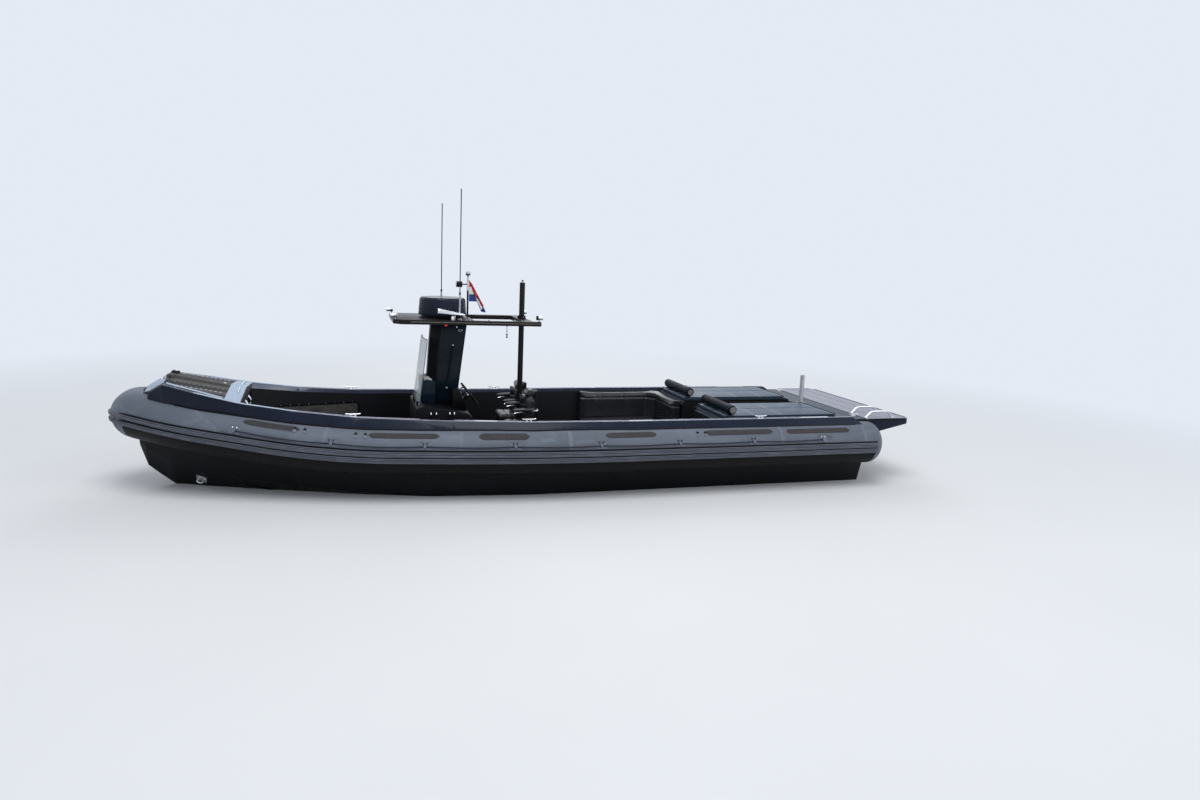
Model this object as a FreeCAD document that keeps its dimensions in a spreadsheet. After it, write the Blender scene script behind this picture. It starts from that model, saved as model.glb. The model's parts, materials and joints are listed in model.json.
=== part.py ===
import FreeCAD, Part
import math
import os
import Sketcher
from FreeCAD import Placement, Rotation, Vector

# Ten-metre inflatable boat with a deep-V hull. +X is the bow, +Y port, +Z up.
# The origin is amidships on the centreline, at the waterline of the boat at rest.
# All lengths are millimetres and all angles are degrees.

os.makedirs("parts", exist_ok=True)
doc = FreeCAD.newDocument("InflatableBoat")
sheet = doc.addObject("Spreadsheet::Sheet", "Sizes")

SIZES = (
    # the inflated collar: section, aft end, and the corners of its centreline
    ("tubeRadius", 280), ("tubeBreadth", 1250), ("tubeHeight", 571), ("tubeAft", -4330),
    ("capLength", 200), ("capKnuckle", 150), ("quarterX", 226), ("shoulderX", 2564),
    ("shoulderY", 912), ("shoulderHeight", 575), ("cheekX", 4128), ("cheekY", 453),
    ("cheekHeight", 787), ("noseX", 4724), ("noseY", 98), ("noseHeight", 878), ("bendShare", 0.47),
    ("chordSpare", 60),
    # fittings on the collar
    ("railAngle", 7.5), ("railSpan", 4.6), ("railProud", 20), ("railCrown", 0.55),
    ("ropeAngle", 30), ("ropeRadius", 7), ("ropeStart", 3550), ("ropeEnd", -3500),
    ("clipLength", 130), ("clipWidth", 70), ("clipThick", 6), ("clipCount", 8),
    ("valveRadius", 22), ("valveProud", 5), ("valveAngle", 52), ("valvePitch", 105),
    # hull and wells
    ("transomX", -4350), ("wallInset", 40), ("wallThick", 40), ("wallDrop", 40),
    ("soleHeight", 50), ("wellAft", -2240), ("wellFore", 3560), ("kneeDrop", 240),
    ("sprayShare", 0.028), ("sprayProud", 26), ("pocketSlack", 2), ("bayInner", 250), ("bayOuter", 1090), ("bayFore", -2300), ("bayAft", -3960),
    ("bayFloor", -80), ("bayFlat", 800), ("bayRise", 140), ("walkHalf", 200), ("walkHeight", 500),
    ("lockerHalf", 180), ("lockerLip", 50), ("lockerFloor", 450),
    # gunwale and foredeck
    ("gunwaleAft", -4205), ("gunwaleSlope", 110), ("gunwaleCap", 62), ("deckCamber", 62), ("seatGap", 0.3),
    ("hatchSetback", 210), ("hatchLength", 610), ("hatchHalf", 250), ("hatchThick", 34),
    ("hatchGap", 6), ("hatchAxisAhead", 12), ("hatchAxisRise", 2), ("hatchHingeY", 150), ("ribPitch", 62), ("ribGap", 10), ("ribDeep", 6), ("ribHalf", 480),
    ("stripFore", 3715), ("noseFore", 4700), ("noseHalf", 150),
    # aft deck, engine lids, pads and platform
    ("lidInner", 215), ("lidOuter", 1150), ("lidAft", -3975), ("lidFore", -2265),
    ("lidDeep", 40), ("lidThick", 34), ("lidGap", 6), ("lidTop", 875), ("padThick", 68), ("padInset", 12),
    ("bolsterRadius", 85), ("bolsterX", -2370), ("hingePin", 5), ("hingeKnuckle", 9),
    ("hingeX", -3991), ("hingeHeight", 891), ("hingeWidth", 60), ("hingeSpread", 330),
    ("deckHeight", 880), ("platformAft", -5030), ("platformHalf", 1230), ("platformEdge", 70),
    ("platformRoot", 220), ("platformCorner", 60),
    ("postRadius", 32.5), ("postHeight", 420), ("postX", -4055), ("postFoot", 70), ("postFootThick", 12),
    ("hoopRadius", 14), ("hoopHeight", 85), ("hoopLength", 420), ("hoopTop", 250), ("hoopAft", -4820),
    ("hoopInner", 800), ("hoopOuter", 1130),
    # engines and drives
    ("engineAft", -3900), ("engineLength", 950), ("engineInner", 300), ("engineWidth", 500),
    ("engineHeight", 680), ("driveY", 520), ("shieldThick", 45), ("shieldHalf", 150),
    ("shieldTop", 190), ("shieldFoot", -350), ("steerX", -4450), ("earTop", 120), ("earFoot", -300),
    ("earThick", 34), ("earRadius", 46), ("pivotRadius", 14), ("runGap", 0.05), ("gimbalRadius", 40),
    ("tiltX", -4545), ("tiltHeight", -60), ("tiltPin", 13), ("forkInner", 62), ("forkThick", 22),
    ("legHalf", 55), ("plateHeight", -330), ("plateHalf", 120), ("shaftHeight", -620),
    ("torpedoRadius", 62), ("torpedoFore", -4560), ("torpedoAft", -4900), ("skegFoot", -850),
    ("hubRadius", 60), ("hubLength", 150), ("propRadius", 190), ("bladeCount", 4), ("bladeThick", 9),
    # console, screen, roof
    ("consoleHalf", 480), ("consoleAft", 900), ("consoleFore", 1600), ("consoleHeight", 900),
    ("pylonHalf", 170), ("pylonAftFoot", 1080), ("pylonForeFoot", 1460), ("pylonAftTop", 950),
    ("pylonForeTop", 1390), ("pylonChamfer", 100), ("roofHeight", 2000), ("roofThick", 55),
    ("roofFore", 1870), ("roofMid", 900), ("roofAft", 70), ("roofHalf", 520), ("roofCorner", 90),
    ("armWidth", 90), ("dashHeight", 1180), ("dashHalf", 330), ("throttleY", -250), ("throttleRise", 110),
    ("throttleTall", 84), ("throttleHalf", 45), ("throttleDeep", 26), ("leverSpread", 20), ("leverReach", 85),
    ("knobRadius", 15), ("wheelX", 880), ("wheelHeight", 1062),
    ("wheelTilt", 38), ("wheelRadius", 165), ("wheelRim", 13), ("wheelHub", 34), ("screenHalf", 330),
    ("screenThick", 8), ("screenTop", 1800), ("screenFootAhead", 8), ("screenLean", 0.115), ("screenSweep", 30),
    ("boxHalf", 280), ("boxAft", 1350), ("boxFore", 1510), ("boxTop", 1280), ("boxWall", 18), ("boxDeep", 90),
    ("plateProud", 6), ("plateInset", 16), ("plateFoot", 1010), ("plateTop", 1985),
    # on the roof
    ("radomeRadius", 300), ("radomeHeight", 230), ("radomeX", 1240), ("radomeFoot", 30), ("radomeSide", 286), ("radomeShoulder", 48),
    ("poleX", 905), ("poleY", -120), ("poleRadius", 12), ("poleTop", 2610), ("mastX", 215),
    ("mastRadius", 35), ("mastTop", 2520), ("whipRadius", 6), ("whipFore", 1215), ("whipForeTop", 3480),
    ("whipAft", 1070), ("whipAftTop", 3630), ("whipY", 350), ("lampRadius", 38), ("lampX", 985),
    ("lampHeight", 2470), ("pullX", 497), ("pullLength", 150), ("mastTip", 35),
    ("flagThick", 30), ("flagHoist", 2540),
    # seating
    ("helmSeatX", 260), ("helmSeatY", 330), ("helmSeatHeight", 700), ("helmSeatHalf", 220),
    ("benchFore", -905), ("benchAft", -1700), ("benchInner", 640), ("benchHeight", 400), ("cushionThick", 110),
    ("backTop", 905), ("backThick", 130), ("sternBenchInner", 215), ("stepRise", 150), ("stepRun", 260),
)

row = 1
for alias, amount in SIZES:
    sheet.set("A%d" % row, alias)
    sheet.set("B%d" % row, str(amount))
    sheet.setAlias("B%d" % row, alias)
    row += 1
doc.recompute()


def size(alias):
    """The number in the sheet's cell of that name."""
    return float(getattr(sheet, alias))


# Stations of the hull, from the transom to the stem
STATIONS = (
    # x, keel height, chine half-breadth, chine height, gunwale edge outboard of the collar's centre,
    # gunwale's rise over the collar, and the angle of its foot round the collar
    (-4350, -500, 1120, -30, -50, 69, 70),
    (-900, -500, 1120, -30, -50, 69, 70),
    (300, -500, 1120, -30, -50, 69, 70),
    (1400, -495, 1010, -10, -35, 85, 70),
    (2300, -470, 840, 45, -20, 100, 68),
    (3000, -420, 665, 110, 10, 106, 66),
    (3560, -340, 505, 175, 80, 112, 63),
    (4000, -205, 355, 250, 98, 145, 60),
    (4380, 0, 205, 335, 110, 172, 60),
    (4560, 150, 115, 400, 60, 30, 60),
)
# Sole half-breadth at the stations that the cockpit spans
SOLE = ((-2240, 1080), (-900, 1080), (300, 1080), (1400, 930), (2300, 750), (3000, 530), (3560, 320))


def feature(label, shape):
    """A sub-part whose shape is built here from the sheet's sizes."""
    item = doc.addObject("Part::Feature", label)
    item.Label = label
    item.Shape = shape
    return item


def mirrored(shape):
    return shape.mirror(Vector(0, 0, 0), Vector(0, 1, 0))


def both(shape):
    """The port shape and its starboard twin, as solids that don't touch."""
    return Part.makeCompound([shape, mirrored(shape)])


def block(low, high):
    """A box between two corners."""
    return Part.makeBox(high[0] - low[0], high[1] - low[1], high[2] - low[2], Vector(*low))


def loft(sections):
    """A solid with straight edges between polygon sections of like corners."""
    wires = [Part.makePolygon(list(points) + [points[0]]) for points in sections]
    return Part.makeLoft(wires, True, True)


def prism(points, along):
    """A polygon face pushed along a vector."""
    return Part.Face(Part.makePolygon(list(points) + [points[0]])).extrude(along)


def rounded_path(points, share):
    """Straight runs joined by tangent arcs, as large as the runs beside each corner allow."""
    edges = []
    last = points[0]
    for before, corner, after in zip(points, points[1:], points[2:]):
        back = (before - corner).normalize()
        ahead = (after - corner).normalize()
        if (back + ahead).Length < 1e-3:
            continue
        half_run = share * min((before - corner).Length, (after - corner).Length)
        start = corner + back * half_run
        end = corner + ahead * half_run
        turn = back.getAngle(ahead)
        middle_way = (back + ahead).normalize()
        centre_far = half_run / math.cos(turn / 2)
        radius = half_run * math.tan(turn / 2)
        middle = corner + middle_way * (centre_far - radius)
        edges.append(Part.LineSegment(last, start).toShape())
        edges.append(Part.Arc(start, middle, end).toShape())
        last = end
    edges.append(Part.LineSegment(last, points[-1]).toShape())
    return Part.Wire(edges)


def swept(path, profile):
    """A closed profile carried along a path."""
    return path.makePipeShell([profile], True, False)


# The collar's centreline, from the middle of the bow round to its port aft end
TUBE_CORNERS = [
    Vector(size("noseX"), 0, size("noseHeight")),
    Vector(size("noseX"), size("noseY"), size("noseHeight")),
    Vector(size("cheekX"), size("cheekY"), size("cheekHeight")),
    Vector(size("shoulderX"), size("shoulderY"), size("shoulderHeight")),
    Vector(size("quarterX"), size("tubeBreadth"), size("tubeHeight")),
    Vector(size("tubeAft"), size("tubeBreadth"), size("tubeHeight")),
]
tube_path = rounded_path(TUBE_CORNERS, size("bendShare"))
tube_samples = tube_path.discretize(Number=700)
R = size("tubeRadius")


def carried_frames(points):
    """Tangent and outward direction at each sample, turned no more than the path turns."""
    outward = Vector(1, 0, 0)
    frames = []
    for index, point in enumerate(points):
        after = points[min(index + 1, len(points) - 1)]
        before = points[max(index - 1, 0)]
        along = (after - before).normalize()
        outward = (outward - along * outward.dot(along)).normalize()
        frames.append((point, along, outward))
    return frames


tube_frames = carried_frames(tube_samples)


def tube_frame(x):
    """Point, direction aft and outward direction of the collar's centreline at a station x."""
    for here, following in zip(tube_frames, tube_frames[1:]):
        if here[0].x >= x >= following[0].x and here[0].x - following[0].x > 1e-6:
            share = (here[0].x - x) / (here[0].x - following[0].x)
            return (here[0] + (following[0] - here[0]) * share, here[1], here[2])
    return tube_frames[-1]


def collar_at(x):
    """Half-breadth and height of the centreline at x, and how much a normal offset grows in Y."""
    centre, along, outward = tube_frame(x)
    flat = math.hypot(along.x, along.y)
    return centre.y, centre.z, flat / max(abs(along.x), 0.2)


def tube_point(x, angle, radius):
    """A point round the collar, the angle counted up from its outermost line."""
    centre, along, outward = tube_frame(x)
    upward = along.cross(outward) * -1
    if upward.z < 0:
        upward = upward * -1
    turn = math.radians(angle)
    direction = outward * math.cos(turn) + upward * math.sin(turn)
    return centre + direction * radius, direction, along


def gunwale_point(station):
    """Corners of the gunwale's section: foot, outer edge, inner edge, inner and outer wall top."""
    x, keel, chine_y, chine_z, edge_out, rise, foot = station
    y, z, grow = collar_at(x)
    top = z + R + rise
    turn = math.radians(foot)
    return (
        Vector(x, y + (R + size("seatGap")) * math.cos(turn) * grow, z + (R + size("seatGap")) * math.sin(turn)),
        Vector(x, y + (edge_out + size("gunwaleCap")) * grow, top),
        Vector(x, y + edge_out * grow, top),
        Vector(x, y - (size("wallInset") + size("wallThick")) * grow, top - size("wallDrop")),
        Vector(x, y - size("wallInset") * grow, top - size("wallDrop")),
    )


def flip(point):
    return Vector(point.x, -point.y, point.z)


# Hull: bottom, chines and topsides up to the gunwale, as one moulding
hull_sections = []
for station in STATIONS:
    x, keel, chine_y, chine_z, edge_out, rise, foot = station
    y, z, grow = collar_at(x)
    inset = size("wallInset")
    wall_y = y - inset * grow
    seat_z = z - math.sqrt(R * R - inset * inset)
    wall_top = gunwale_point(station)[4]
    port = [Vector(x, chine_y, chine_z), Vector(x, wall_y, seat_z), wall_top]
    hull_sections.append([Vector(x, 0, keel)] + port + [flip(p) for p in reversed(port)])
stem_sections = (
    # x, keel, chine y, chine z, seat y, seat z, top z
    (4660, 240, 70, 460, 78, 600, 1090),
    (4735, 480, 24, 545, 26, 585, 620),
)
for x, keel, chine_y, chine_z, seat_y, seat_z, top_z in stem_sections:
    port = [Vector(x, chine_y, chine_z), Vector(x, seat_y, seat_z), Vector(x, seat_y, top_z)]
    hull_sections.append([Vector(x, 0, keel)] + port + [flip(p) for p in reversed(port)])
hull_block = loft(hull_sections)

well_sections = []
for x, sole_y in SOLE:
    y, z, grow = collar_at(x)
    wall_y = y - (size("wallInset") + size("wallThick")) * grow
    knee = z - size("kneeDrop")
    sky = z + 3 * R
    port = [Vector(x, sole_y, size("soleHeight")), Vector(x, wall_y, knee), Vector(x, wall_y, sky)]
    well_sections.append(port + [flip(p) for p in reversed(port)])
well = loft(well_sections)
well_aft_y = well_sections[0][1].y

HIGH = 1500
bay_points = (
    Vector(size("bayFore"), size("bayInner"), size("bayFloor")),
    Vector(size("bayFore"), size("bayFlat"), size("bayFloor")),
    Vector(size("bayFore"), size("bayOuter"), size("bayFloor") + size("bayRise")),
    Vector(size("bayFore"), size("bayOuter"), HIGH),
    Vector(size("bayFore"), size("bayInner"), HIGH),
)
bay = prism(bay_points, Vector(size("bayAft") - size("bayFore"), 0, 0))
recess = block(
    (size("lidAft") - size("lidGap"), size("lidInner") - size("lidGap"), size("deckHeight") - size("lidDeep")),
    (size("lidFore") + 200, size("lidOuter") + size("lidGap"), HIGH))
walkway = block((size("bayAft"), -size("walkHalf"), size("walkHeight")),
                (size("wellAft") + 1, size("walkHalf"), HIGH))
hatch_fore = STATIONS[-1][0] - size("hatchSetback")
hatch_aft = hatch_fore - size("hatchLength")
locker_aft = hatch_aft + size("lockerLip")
locker_fore = hatch_fore - size("lockerLip")
locker = block((locker_aft, -size("lockerHalf"), size("lockerFloor")),
               (locker_fore, size("lockerHalf"), HIGH))
hull_shape = hull_block.cut(well)
for hollow in (bay, mirrored(bay), recess, mirrored(recess), walkway, locker):
    hull_shape = hull_shape.cut(hollow)
feature("hull", hull_shape)

# Inflated collar: a D-shaped tube bonded to the topsides, with domed aft ends
nose = TUBE_CORNERS[0]
# The hull takes the collar's inner side away, so only a D of it is swept round the tight bow
chord = size("wallInset") + size("chordSpare")
chord_high = math.sqrt(R * R - chord * chord)
tube_section = Part.Wire([
    Part.Arc(nose + Vector(-chord, 0, chord_high), nose + Vector(R, 0, 0),
             nose + Vector(-chord, 0, -chord_high)).toShape(),
    Part.LineSegment(nose + Vector(-chord, 0, -chord_high), nose + Vector(-chord, 0, chord_high)).toShape(),
])
tube_half = swept(tube_path, tube_section)
knuckle = size("capKnuckle")
dome = size("capLength")
side = R - knuckle
# The crown's arc is tangent to the knuckle's arc
spread = ((dome - knuckle) ** 2 + side ** 2) / (2.0 * (dome - knuckle))
crown = spread + knuckle
lean = math.atan2(side, crown - dome)
joint = Vector(-(dome - crown) - crown * math.cos(lean), crown * math.sin(lean), 0)
cap_profile = Part.Wire([
    Part.LineSegment(Vector(0, 0, 0), Vector(0, R, 0)).toShape(),
    Part.Arc(Vector(0, R, 0),
             Vector(-knuckle * math.cos((math.pi / 2 - lean) / 2 + lean),
                    side + knuckle * math.sin((math.pi / 2 - lean) / 2 + lean), 0),
             joint).toShape(),
    Part.Arc(joint,
             Vector(-(dome - crown) - crown * math.cos(lean / 2), crown * math.sin(lean / 2), 0),
             Vector(-dome, 0, 0)).toShape(),
    Part.LineSegment(Vector(-dome, 0, 0), Vector(0, 0, 0)).toShape(),
])
cap = Part.Face(cap_profile).revolve(Vector(0, 0, 0), Vector(1, 0, 0), 360)
cap.translate(TUBE_CORNERS[-1])
tube_full = tube_half.fuse(cap)
tube_full = tube_full.fuse(mirrored(tube_full)).removeSplitter()
cap_flat = size("platformHalf") + size("seatGap")
flat_cut = block((size("tubeAft") - dome - 10, -cap_flat, 0), (size("transomX") + 0.5, cap_flat, HIGH))
feature("tube_collar", tube_full.cut(hull_block).cut(flat_cut))

# Twin rub rails along the collar's outermost line
rails = []
for centre_angle in (size("railAngle"), -size("railAngle")):
    span = size("railSpan")
    inner = R + size("seatGap")
    outer = inner + size("railProud")

    def round_point(angle, radius):
        return nose + Vector(math.cos(math.radians(angle)), 0, math.sin(math.radians(angle))) * radius

    crown_span = span * size("railCrown")
    section = Part.Wire([
        Part.Arc(round_point(centre_angle - span, inner), round_point(centre_angle, inner),
                 round_point(centre_angle + span, inner)).toShape(),
        Part.LineSegment(round_point(centre_angle + span, inner),
                         round_point(centre_angle + crown_span, outer)).toShape(),
        Part.Arc(round_point(centre_angle + crown_span, outer), round_point(centre_angle, outer),
                 round_point(centre_angle - crown_span, outer)).toShape(),
        Part.LineSegment(round_point(centre_angle - crown_span, outer),
                         round_point(centre_angle - span, inner)).toShape(),
    ])
    rail = swept(tube_path, section)
    rails.append(rail.fuse(mirrored(rail)))
feature("rub_rails", Part.makeCompound(rails))

# Gunwale moulding on the topsides, its foot on the collar
gunwale_sections = []
first = (size("gunwaleAft"),) + STATIONS[0][1:]
for station in (first,) + STATIONS[1:]:
    gunwale_sections.append(list(gunwale_point(station)))
gunwale = loft(gunwale_sections)
end_top = gunwale_sections[0][1].z
end_low = gunwale_sections[0][0].z
end_x = size("gunwaleAft")
end_cut = prism((
    Vector(end_x - 1, 0, end_low), Vector(end_x + size("gunwaleSlope"), 0, end_top),
    Vector(end_x + size("gunwaleSlope"), 0, end_top + 9), Vector(end_x - 1, 0, end_top + 9),
), Vector(0, 2 * size("tubeBreadth"), 0))
feature("gunwale", both(gunwale.cut(tube_full).cut(end_cut)))

# Foredeck between the gunwales, cambered, with a ribbed locker lid
deck_sections = []
for station in STATIONS[6:]:
    corners = gunwale_point(station)
    inner = corners[2] - Vector(0, 1, 0)
    root = corners[3] - Vector(0, 1, 0)
    crest = Vector(station[0], 0, inner.z + size("deckCamber"))
    deck_sections.append([root, inner, crest, flip(inner), flip(root)])
deck_block = loft(deck_sections)
nose_root = deck_sections[-1]
nose_tip = [
    Vector(size("noseFore"), size("noseHalf"), nose_root[0].z - 40),
    Vector(size("noseFore"), size("noseHalf"), nose_root[0].z - 5),
    Vector(size("noseFore"), 0, nose_root[0].z + 8),
    Vector(size("noseFore"), -size("noseHalf"), nose_root[0].z - 5),
    Vector(size("noseFore"), -size("noseHalf"), nose_root[0].z - 40),
]
nose_plate = loft([nose_root, nose_tip]).cut(tube_full).cut(hull_block)
hatch_gap = size("hatchGap")
lid_box = block((hatch_aft, -size("hatchHalf"), 0), (hatch_fore, size("hatchHalf"), HIGH))
hole_box = block((hatch_aft - hatch_gap, -size("hatchHalf") - hatch_gap, 0),
                 (hatch_fore + hatch_gap, size("hatchHalf") + hatch_gap, HIGH))
lowered = deck_block.translated(Vector(0, 0, -size("hatchThick")))
ribs_floor = deck_block.translated(Vector(0, 0, -size("ribDeep")))
grooves = []
groove_y = -size("ribHalf")
while groove_y <= size("ribHalf") + 1:
    grooves.append(block((size("stripFore") + 40, groove_y - size("ribGap") / 2, 0),
                         (hatch_fore, groove_y + size("ribGap") / 2, HIGH)))
    groove_y += size("ribPitch")
groove_cut = Part.makeCompound(grooves).cut(ribs_floor)
hatch = deck_block.common(lid_box).cut(lowered).cut(groove_cut)
opening = block((locker_aft, -size("lockerHalf"), 0), (locker_fore, size("lockerHalf"), HIGH))
hinge_x = hatch_fore + size("hatchAxisAhead")
for behind, before in zip(deck_sections, deck_sections[1:]):
    if behind[2].x <= hinge_x <= before[2].x:
        crest_share = (hinge_x - behind[2].x) / (before[2].x - behind[2].x)
        hinge_z = behind[2].z + (before[2].z - behind[2].z) * crest_share + size("hatchAxisRise")
print("locker lid axis", hinge_x, round(hinge_z, 2))
knuckles, deck_ears = [], []
for hinge_y in (-size("hatchHingeY"), size("hatchHingeY")):
    half = size("hingeWidth") / 2
    barrel = Part.makeCylinder(size("hingeKnuckle"), 2 * half, Vector(hinge_x, hinge_y - half, hinge_z), Vector(0, 1, 0))
    leaf = block((hatch_fore - 45, hinge_y - half, hinge_z - 40), (hinge_x, hinge_y + half, hinge_z + 2))
    leaf = leaf.cut(block((hatch_fore - 1, hinge_y - 99, hinge_z - 99), (hinge_x + 1, hinge_y + 99, hinge_z - 6)))
    bore = Part.makeCylinder(size("hingePin") + size("runGap"), 99, Vector(hinge_x, hinge_y - 49, hinge_z), Vector(0, 1, 0))
    knuckles.append(barrel.fuse(leaf).cut(bore))
    for near in (hinge_y - half - 13, hinge_y + half + 1):
        deck_ears.append(block((hinge_x - 3, near, hinge_z - 40), (hinge_x + 24, near + 12, hinge_z + 9)))
    deck_ears.append(Part.makeCylinder(size("hingePin"), 2 * half + 26, Vector(hinge_x, hinge_y - half - 13, hinge_z),
                                       Vector(0, 1, 0)))
deck = deck_block.cut(hole_box.cut(lowered)).cut(opening).cut(groove_cut).cut(tube_full)
for ear in deck_ears:
    deck = deck.fuse(ear)
for knuckle in knuckles:
    hatch = hatch.fuse(knuckle)
feature("foredeck", deck.fuse(nose_plate))
feature("bow_locker_lid", hatch)


def bound(item, links):
    """Bind an object's properties to formulas of the sheet's cells."""
    for place, formula in links:
        item.setExpression(place, formula)
    return item


def origin_plane(body, role):
    for plane in body.Origin.OriginFeatures:
        if plane.Role == role:
            return plane


def outline(body, role, corners):
    """A closed polygon sketch whose corners are formulas of the sheet's cells."""
    sketch = body.newObject("Sketcher::SketchObject", body.Name + "Outline")
    sketch.AttachmentSupport = [(origin_plane(body, role), "")]
    sketch.MapMode = "FlatFace"
    count = len(corners)
    ring = []
    for index in range(count):
        turn = 2 * math.pi * index / count
        ring.append(Vector(500 * math.cos(turn), 500 * math.sin(turn), 0))
    for index in range(count):
        sketch.addGeometry(Part.LineSegment(ring[index], ring[(index + 1) % count]), False)
    for index in range(count):
        sketch.addConstraint(Sketcher.Constraint("Coincident", index, 2, (index + 1) % count, 1))
    for index, (across, up) in enumerate(corners):
        for kind, formula, guess in (("DistanceX", across, ring[index].x), ("DistanceY", up, ring[index].y)):
            number = sketch.addConstraint(Sketcher.Constraint(kind, -1, 1, index, 1, guess))
            sketch.setExpression("Constraints[%d]" % number, formula)
    return sketch


def padded_body(label, role, corners, width, middle=True, lift=None):
    """A polygon padded to a thickness, about its plane or away from it."""
    body = doc.addObject("PartDesign::Body", label)
    body.Label = label
    sketch = outline(body, role, corners)
    pad = body.newObject("PartDesign::Pad", label + "Pad")
    pad.Profile = sketch
    pad.Midplane = middle
    pad.setExpression("Length", width)
    if lift:
        bound(body, (("Placement.Base." + lift[0], lift[1]),))
    doc.recompute()
    body.Tip = pad
    return body, pad


def rounded_edges(body, last, radius, wanted):
    """Fillet the edges of the last feature that a test picks out."""
    names = []
    for number, edge in enumerate(last.Shape.Edges):
        if wanted(edge):
            names.append("Edge%d" % (number + 1))
    fillet = body.newObject("PartDesign::Fillet", body.Name + "Round%d" % len(names))
    fillet.Base = (last, names)
    fillet.setExpression("Radius", radius)
    body.Tip = fillet
    doc.recompute()
    return fillet


def upright(edge):
    along = edge.Vertexes[-1].Point - edge.Vertexes[0].Point
    return abs(along.z) > 0.99 * along.Length and len(edge.Vertexes) == 2


# Swim platform: a wedge moulding behind the transom, with rounded aft corners
platform, platform_pad = padded_body("swim_platform", "XZ_Plane", (
    ("Sizes.transomX", "Sizes.deckHeight"),
    ("Sizes.platformAft", "Sizes.deckHeight"),
    ("Sizes.platformAft", "Sizes.deckHeight - Sizes.platformEdge"),
    ("Sizes.transomX", "Sizes.deckHeight - Sizes.platformRoot"),
), "2 * Sizes.platformHalf")
rounded_edges(platform, platform_pad, "Sizes.platformCorner",
              lambda edge: upright(edge) and edge.CenterOfMass.x < size("platformAft") + 1)

# Tow post on the aft deck
post = doc.addObject("Part::Cylinder", "tow_post")
bound(post, (("Radius", "Sizes.postRadius"), ("Height", "Sizes.postHeight"),
             ("Placement.Base.x", "Sizes.postX"), ("Placement.Base.z", "Sizes.deckHeight")))
foot = doc.addObject("Part::Cylinder", "PostFoot")
bound(foot, (("Radius", "Sizes.postFoot"), ("Height", "Sizes.postFootThick"),
             ("Placement.Base.x", "Sizes.postX"), ("Placement.Base.z", "Sizes.deckHeight")))
post.Label = "PostTube"
tow_post = doc.addObject("Part::Fuse", "TowPost")
tow_post.Base = post
tow_post.Tool = foot
tow_post.Label = "tow_post"


def tube_between(points, radius, share=0.45):
    """A round bar along straight runs with tangent arcs."""
    path = rounded_path([Vector(*p) for p in points], share) if len(points) > 2 else Part.Wire(
        [Part.LineSegment(Vector(*points[0]), Vector(*points[1])).toShape()])
    start = path.Edges[0]
    along = start.tangentAt(start.FirstParameter)
    ring = Part.Wire([Part.makeCircle(radius, start.valueAt(start.FirstParameter), along)])
    return swept(path, ring)


def rod(start, end, radius):
    along = Vector(*end) - Vector(*start)
    return Part.makeCylinder(radius, along.Length, Vector(*start), along)


def fused(shapes):
    whole = shapes[0]
    for shape in shapes[1:]:
        whole = whole.fuse(shape)
    return whole


# Grab hoops beside the boarding place at the platform's port corner
hoops = []
for hoop_y in (size("hoopInner"), size("hoopOuter")):
    low_z = size("deckHeight")
    high_z = low_z + size("hoopHeight")
    slope = (size("hoopLength") - size("hoopTop")) / 2
    fore = size("hoopAft") + size("hoopLength")
    hoops.append(tube_between((
        (fore, hoop_y, low_z), (fore - slope, hoop_y, high_z),
        (size("hoopAft") + slope, hoop_y, high_z), (size("hoopAft"), hoop_y, low_z)),
        size("hoopRadius"), 0.3).cut(block((fore - 900, 0, low_z - 99), (fore + 99, 2000, low_z))))
feature("platform_hoops", Part.makeCompound(hoops))

# Engine lids: hinged panels in the aft deck, each with a sun pad and a rolled headrest
pad_aft = size("lidAft") + 45


def lid_shape():
    low = size("deckHeight") - size("lidDeep") + size("seatGap")
    high = low + size("lidThick")
    panel = block((size("lidAft"), size("lidInner"), low), (size("lidFore"), size("lidOuter"), high))
    lugs = []
    middle_y = (size("lidInner") + size("lidOuter")) / 2
    for shift in (-size("hingeSpread"), size("hingeSpread")):
        lug_y = middle_y + shift
        half = size("hingeWidth") / 2
        axis_z = size("hingeHeight")
        barrel = rod((size("hingeX"), lug_y - half, axis_z), (size("hingeX"), lug_y + half, axis_z),
                     size("hingeKnuckle"))
        leaf = prism((
            Vector(size("hingeX"), lug_y - half, axis_z + 2), Vector(pad_aft - 4, lug_y - half, axis_z + 2),
            Vector(pad_aft - 4, lug_y - half, high), Vector(pad_aft - 24, lug_y - half, high),
            Vector(pad_aft - 24, lug_y - half, axis_z - 6), Vector(size("hingeX"), lug_y - half, axis_z - 6),
        ), Vector(0, size("hingeWidth"), 0))
        bore = rod((size("hingeX"), lug_y - half - 1, axis_z), (size("hingeX"), lug_y + half + 1, axis_z),
                   size("hingePin") + size("runGap"))
        lugs.append(barrel.fuse(leaf).cut(bore))
    return fused([panel] + lugs)


def hinge_fixed(middle_y):
    """Ears and pin of one hinge, standing on the aft deck."""
    half = size("hingeWidth") / 2
    axis_z = size("hingeHeight")
    ears = []
    for side in (-1, 1):
        near = middle_y + side * (half + 1)
        far = middle_y + side * (half + 13)
        low_y, high_y = min(near, far), max(near, far)
        ears.append(block((size("hingeX") - 26, low_y, size("deckHeight")),
                          (size("hingeX") + 9, high_y, axis_z + 9)))
    pin = rod((size("hingeX"), middle_y - half - 13, axis_z), (size("hingeX"), middle_y + half + 13, axis_z),
              size("hingePin"))
    return fused(ears + [pin])


lid_port = lid_shape()
feature("engine_lid_port", lid_port)
feature("engine_lid_starboard", mirrored(lid_port))
lid_middle = (size("lidInner") + size("lidOuter")) / 2
hinge_set = []
for shift in (-size("hingeSpread"), size("hingeSpread")):
    hinge_set.append(hinge_fixed(lid_middle + shift))
feature("lid_hinges", Part.makeCompound(hinge_set + [mirrored(h) for h in hinge_set]))


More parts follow.
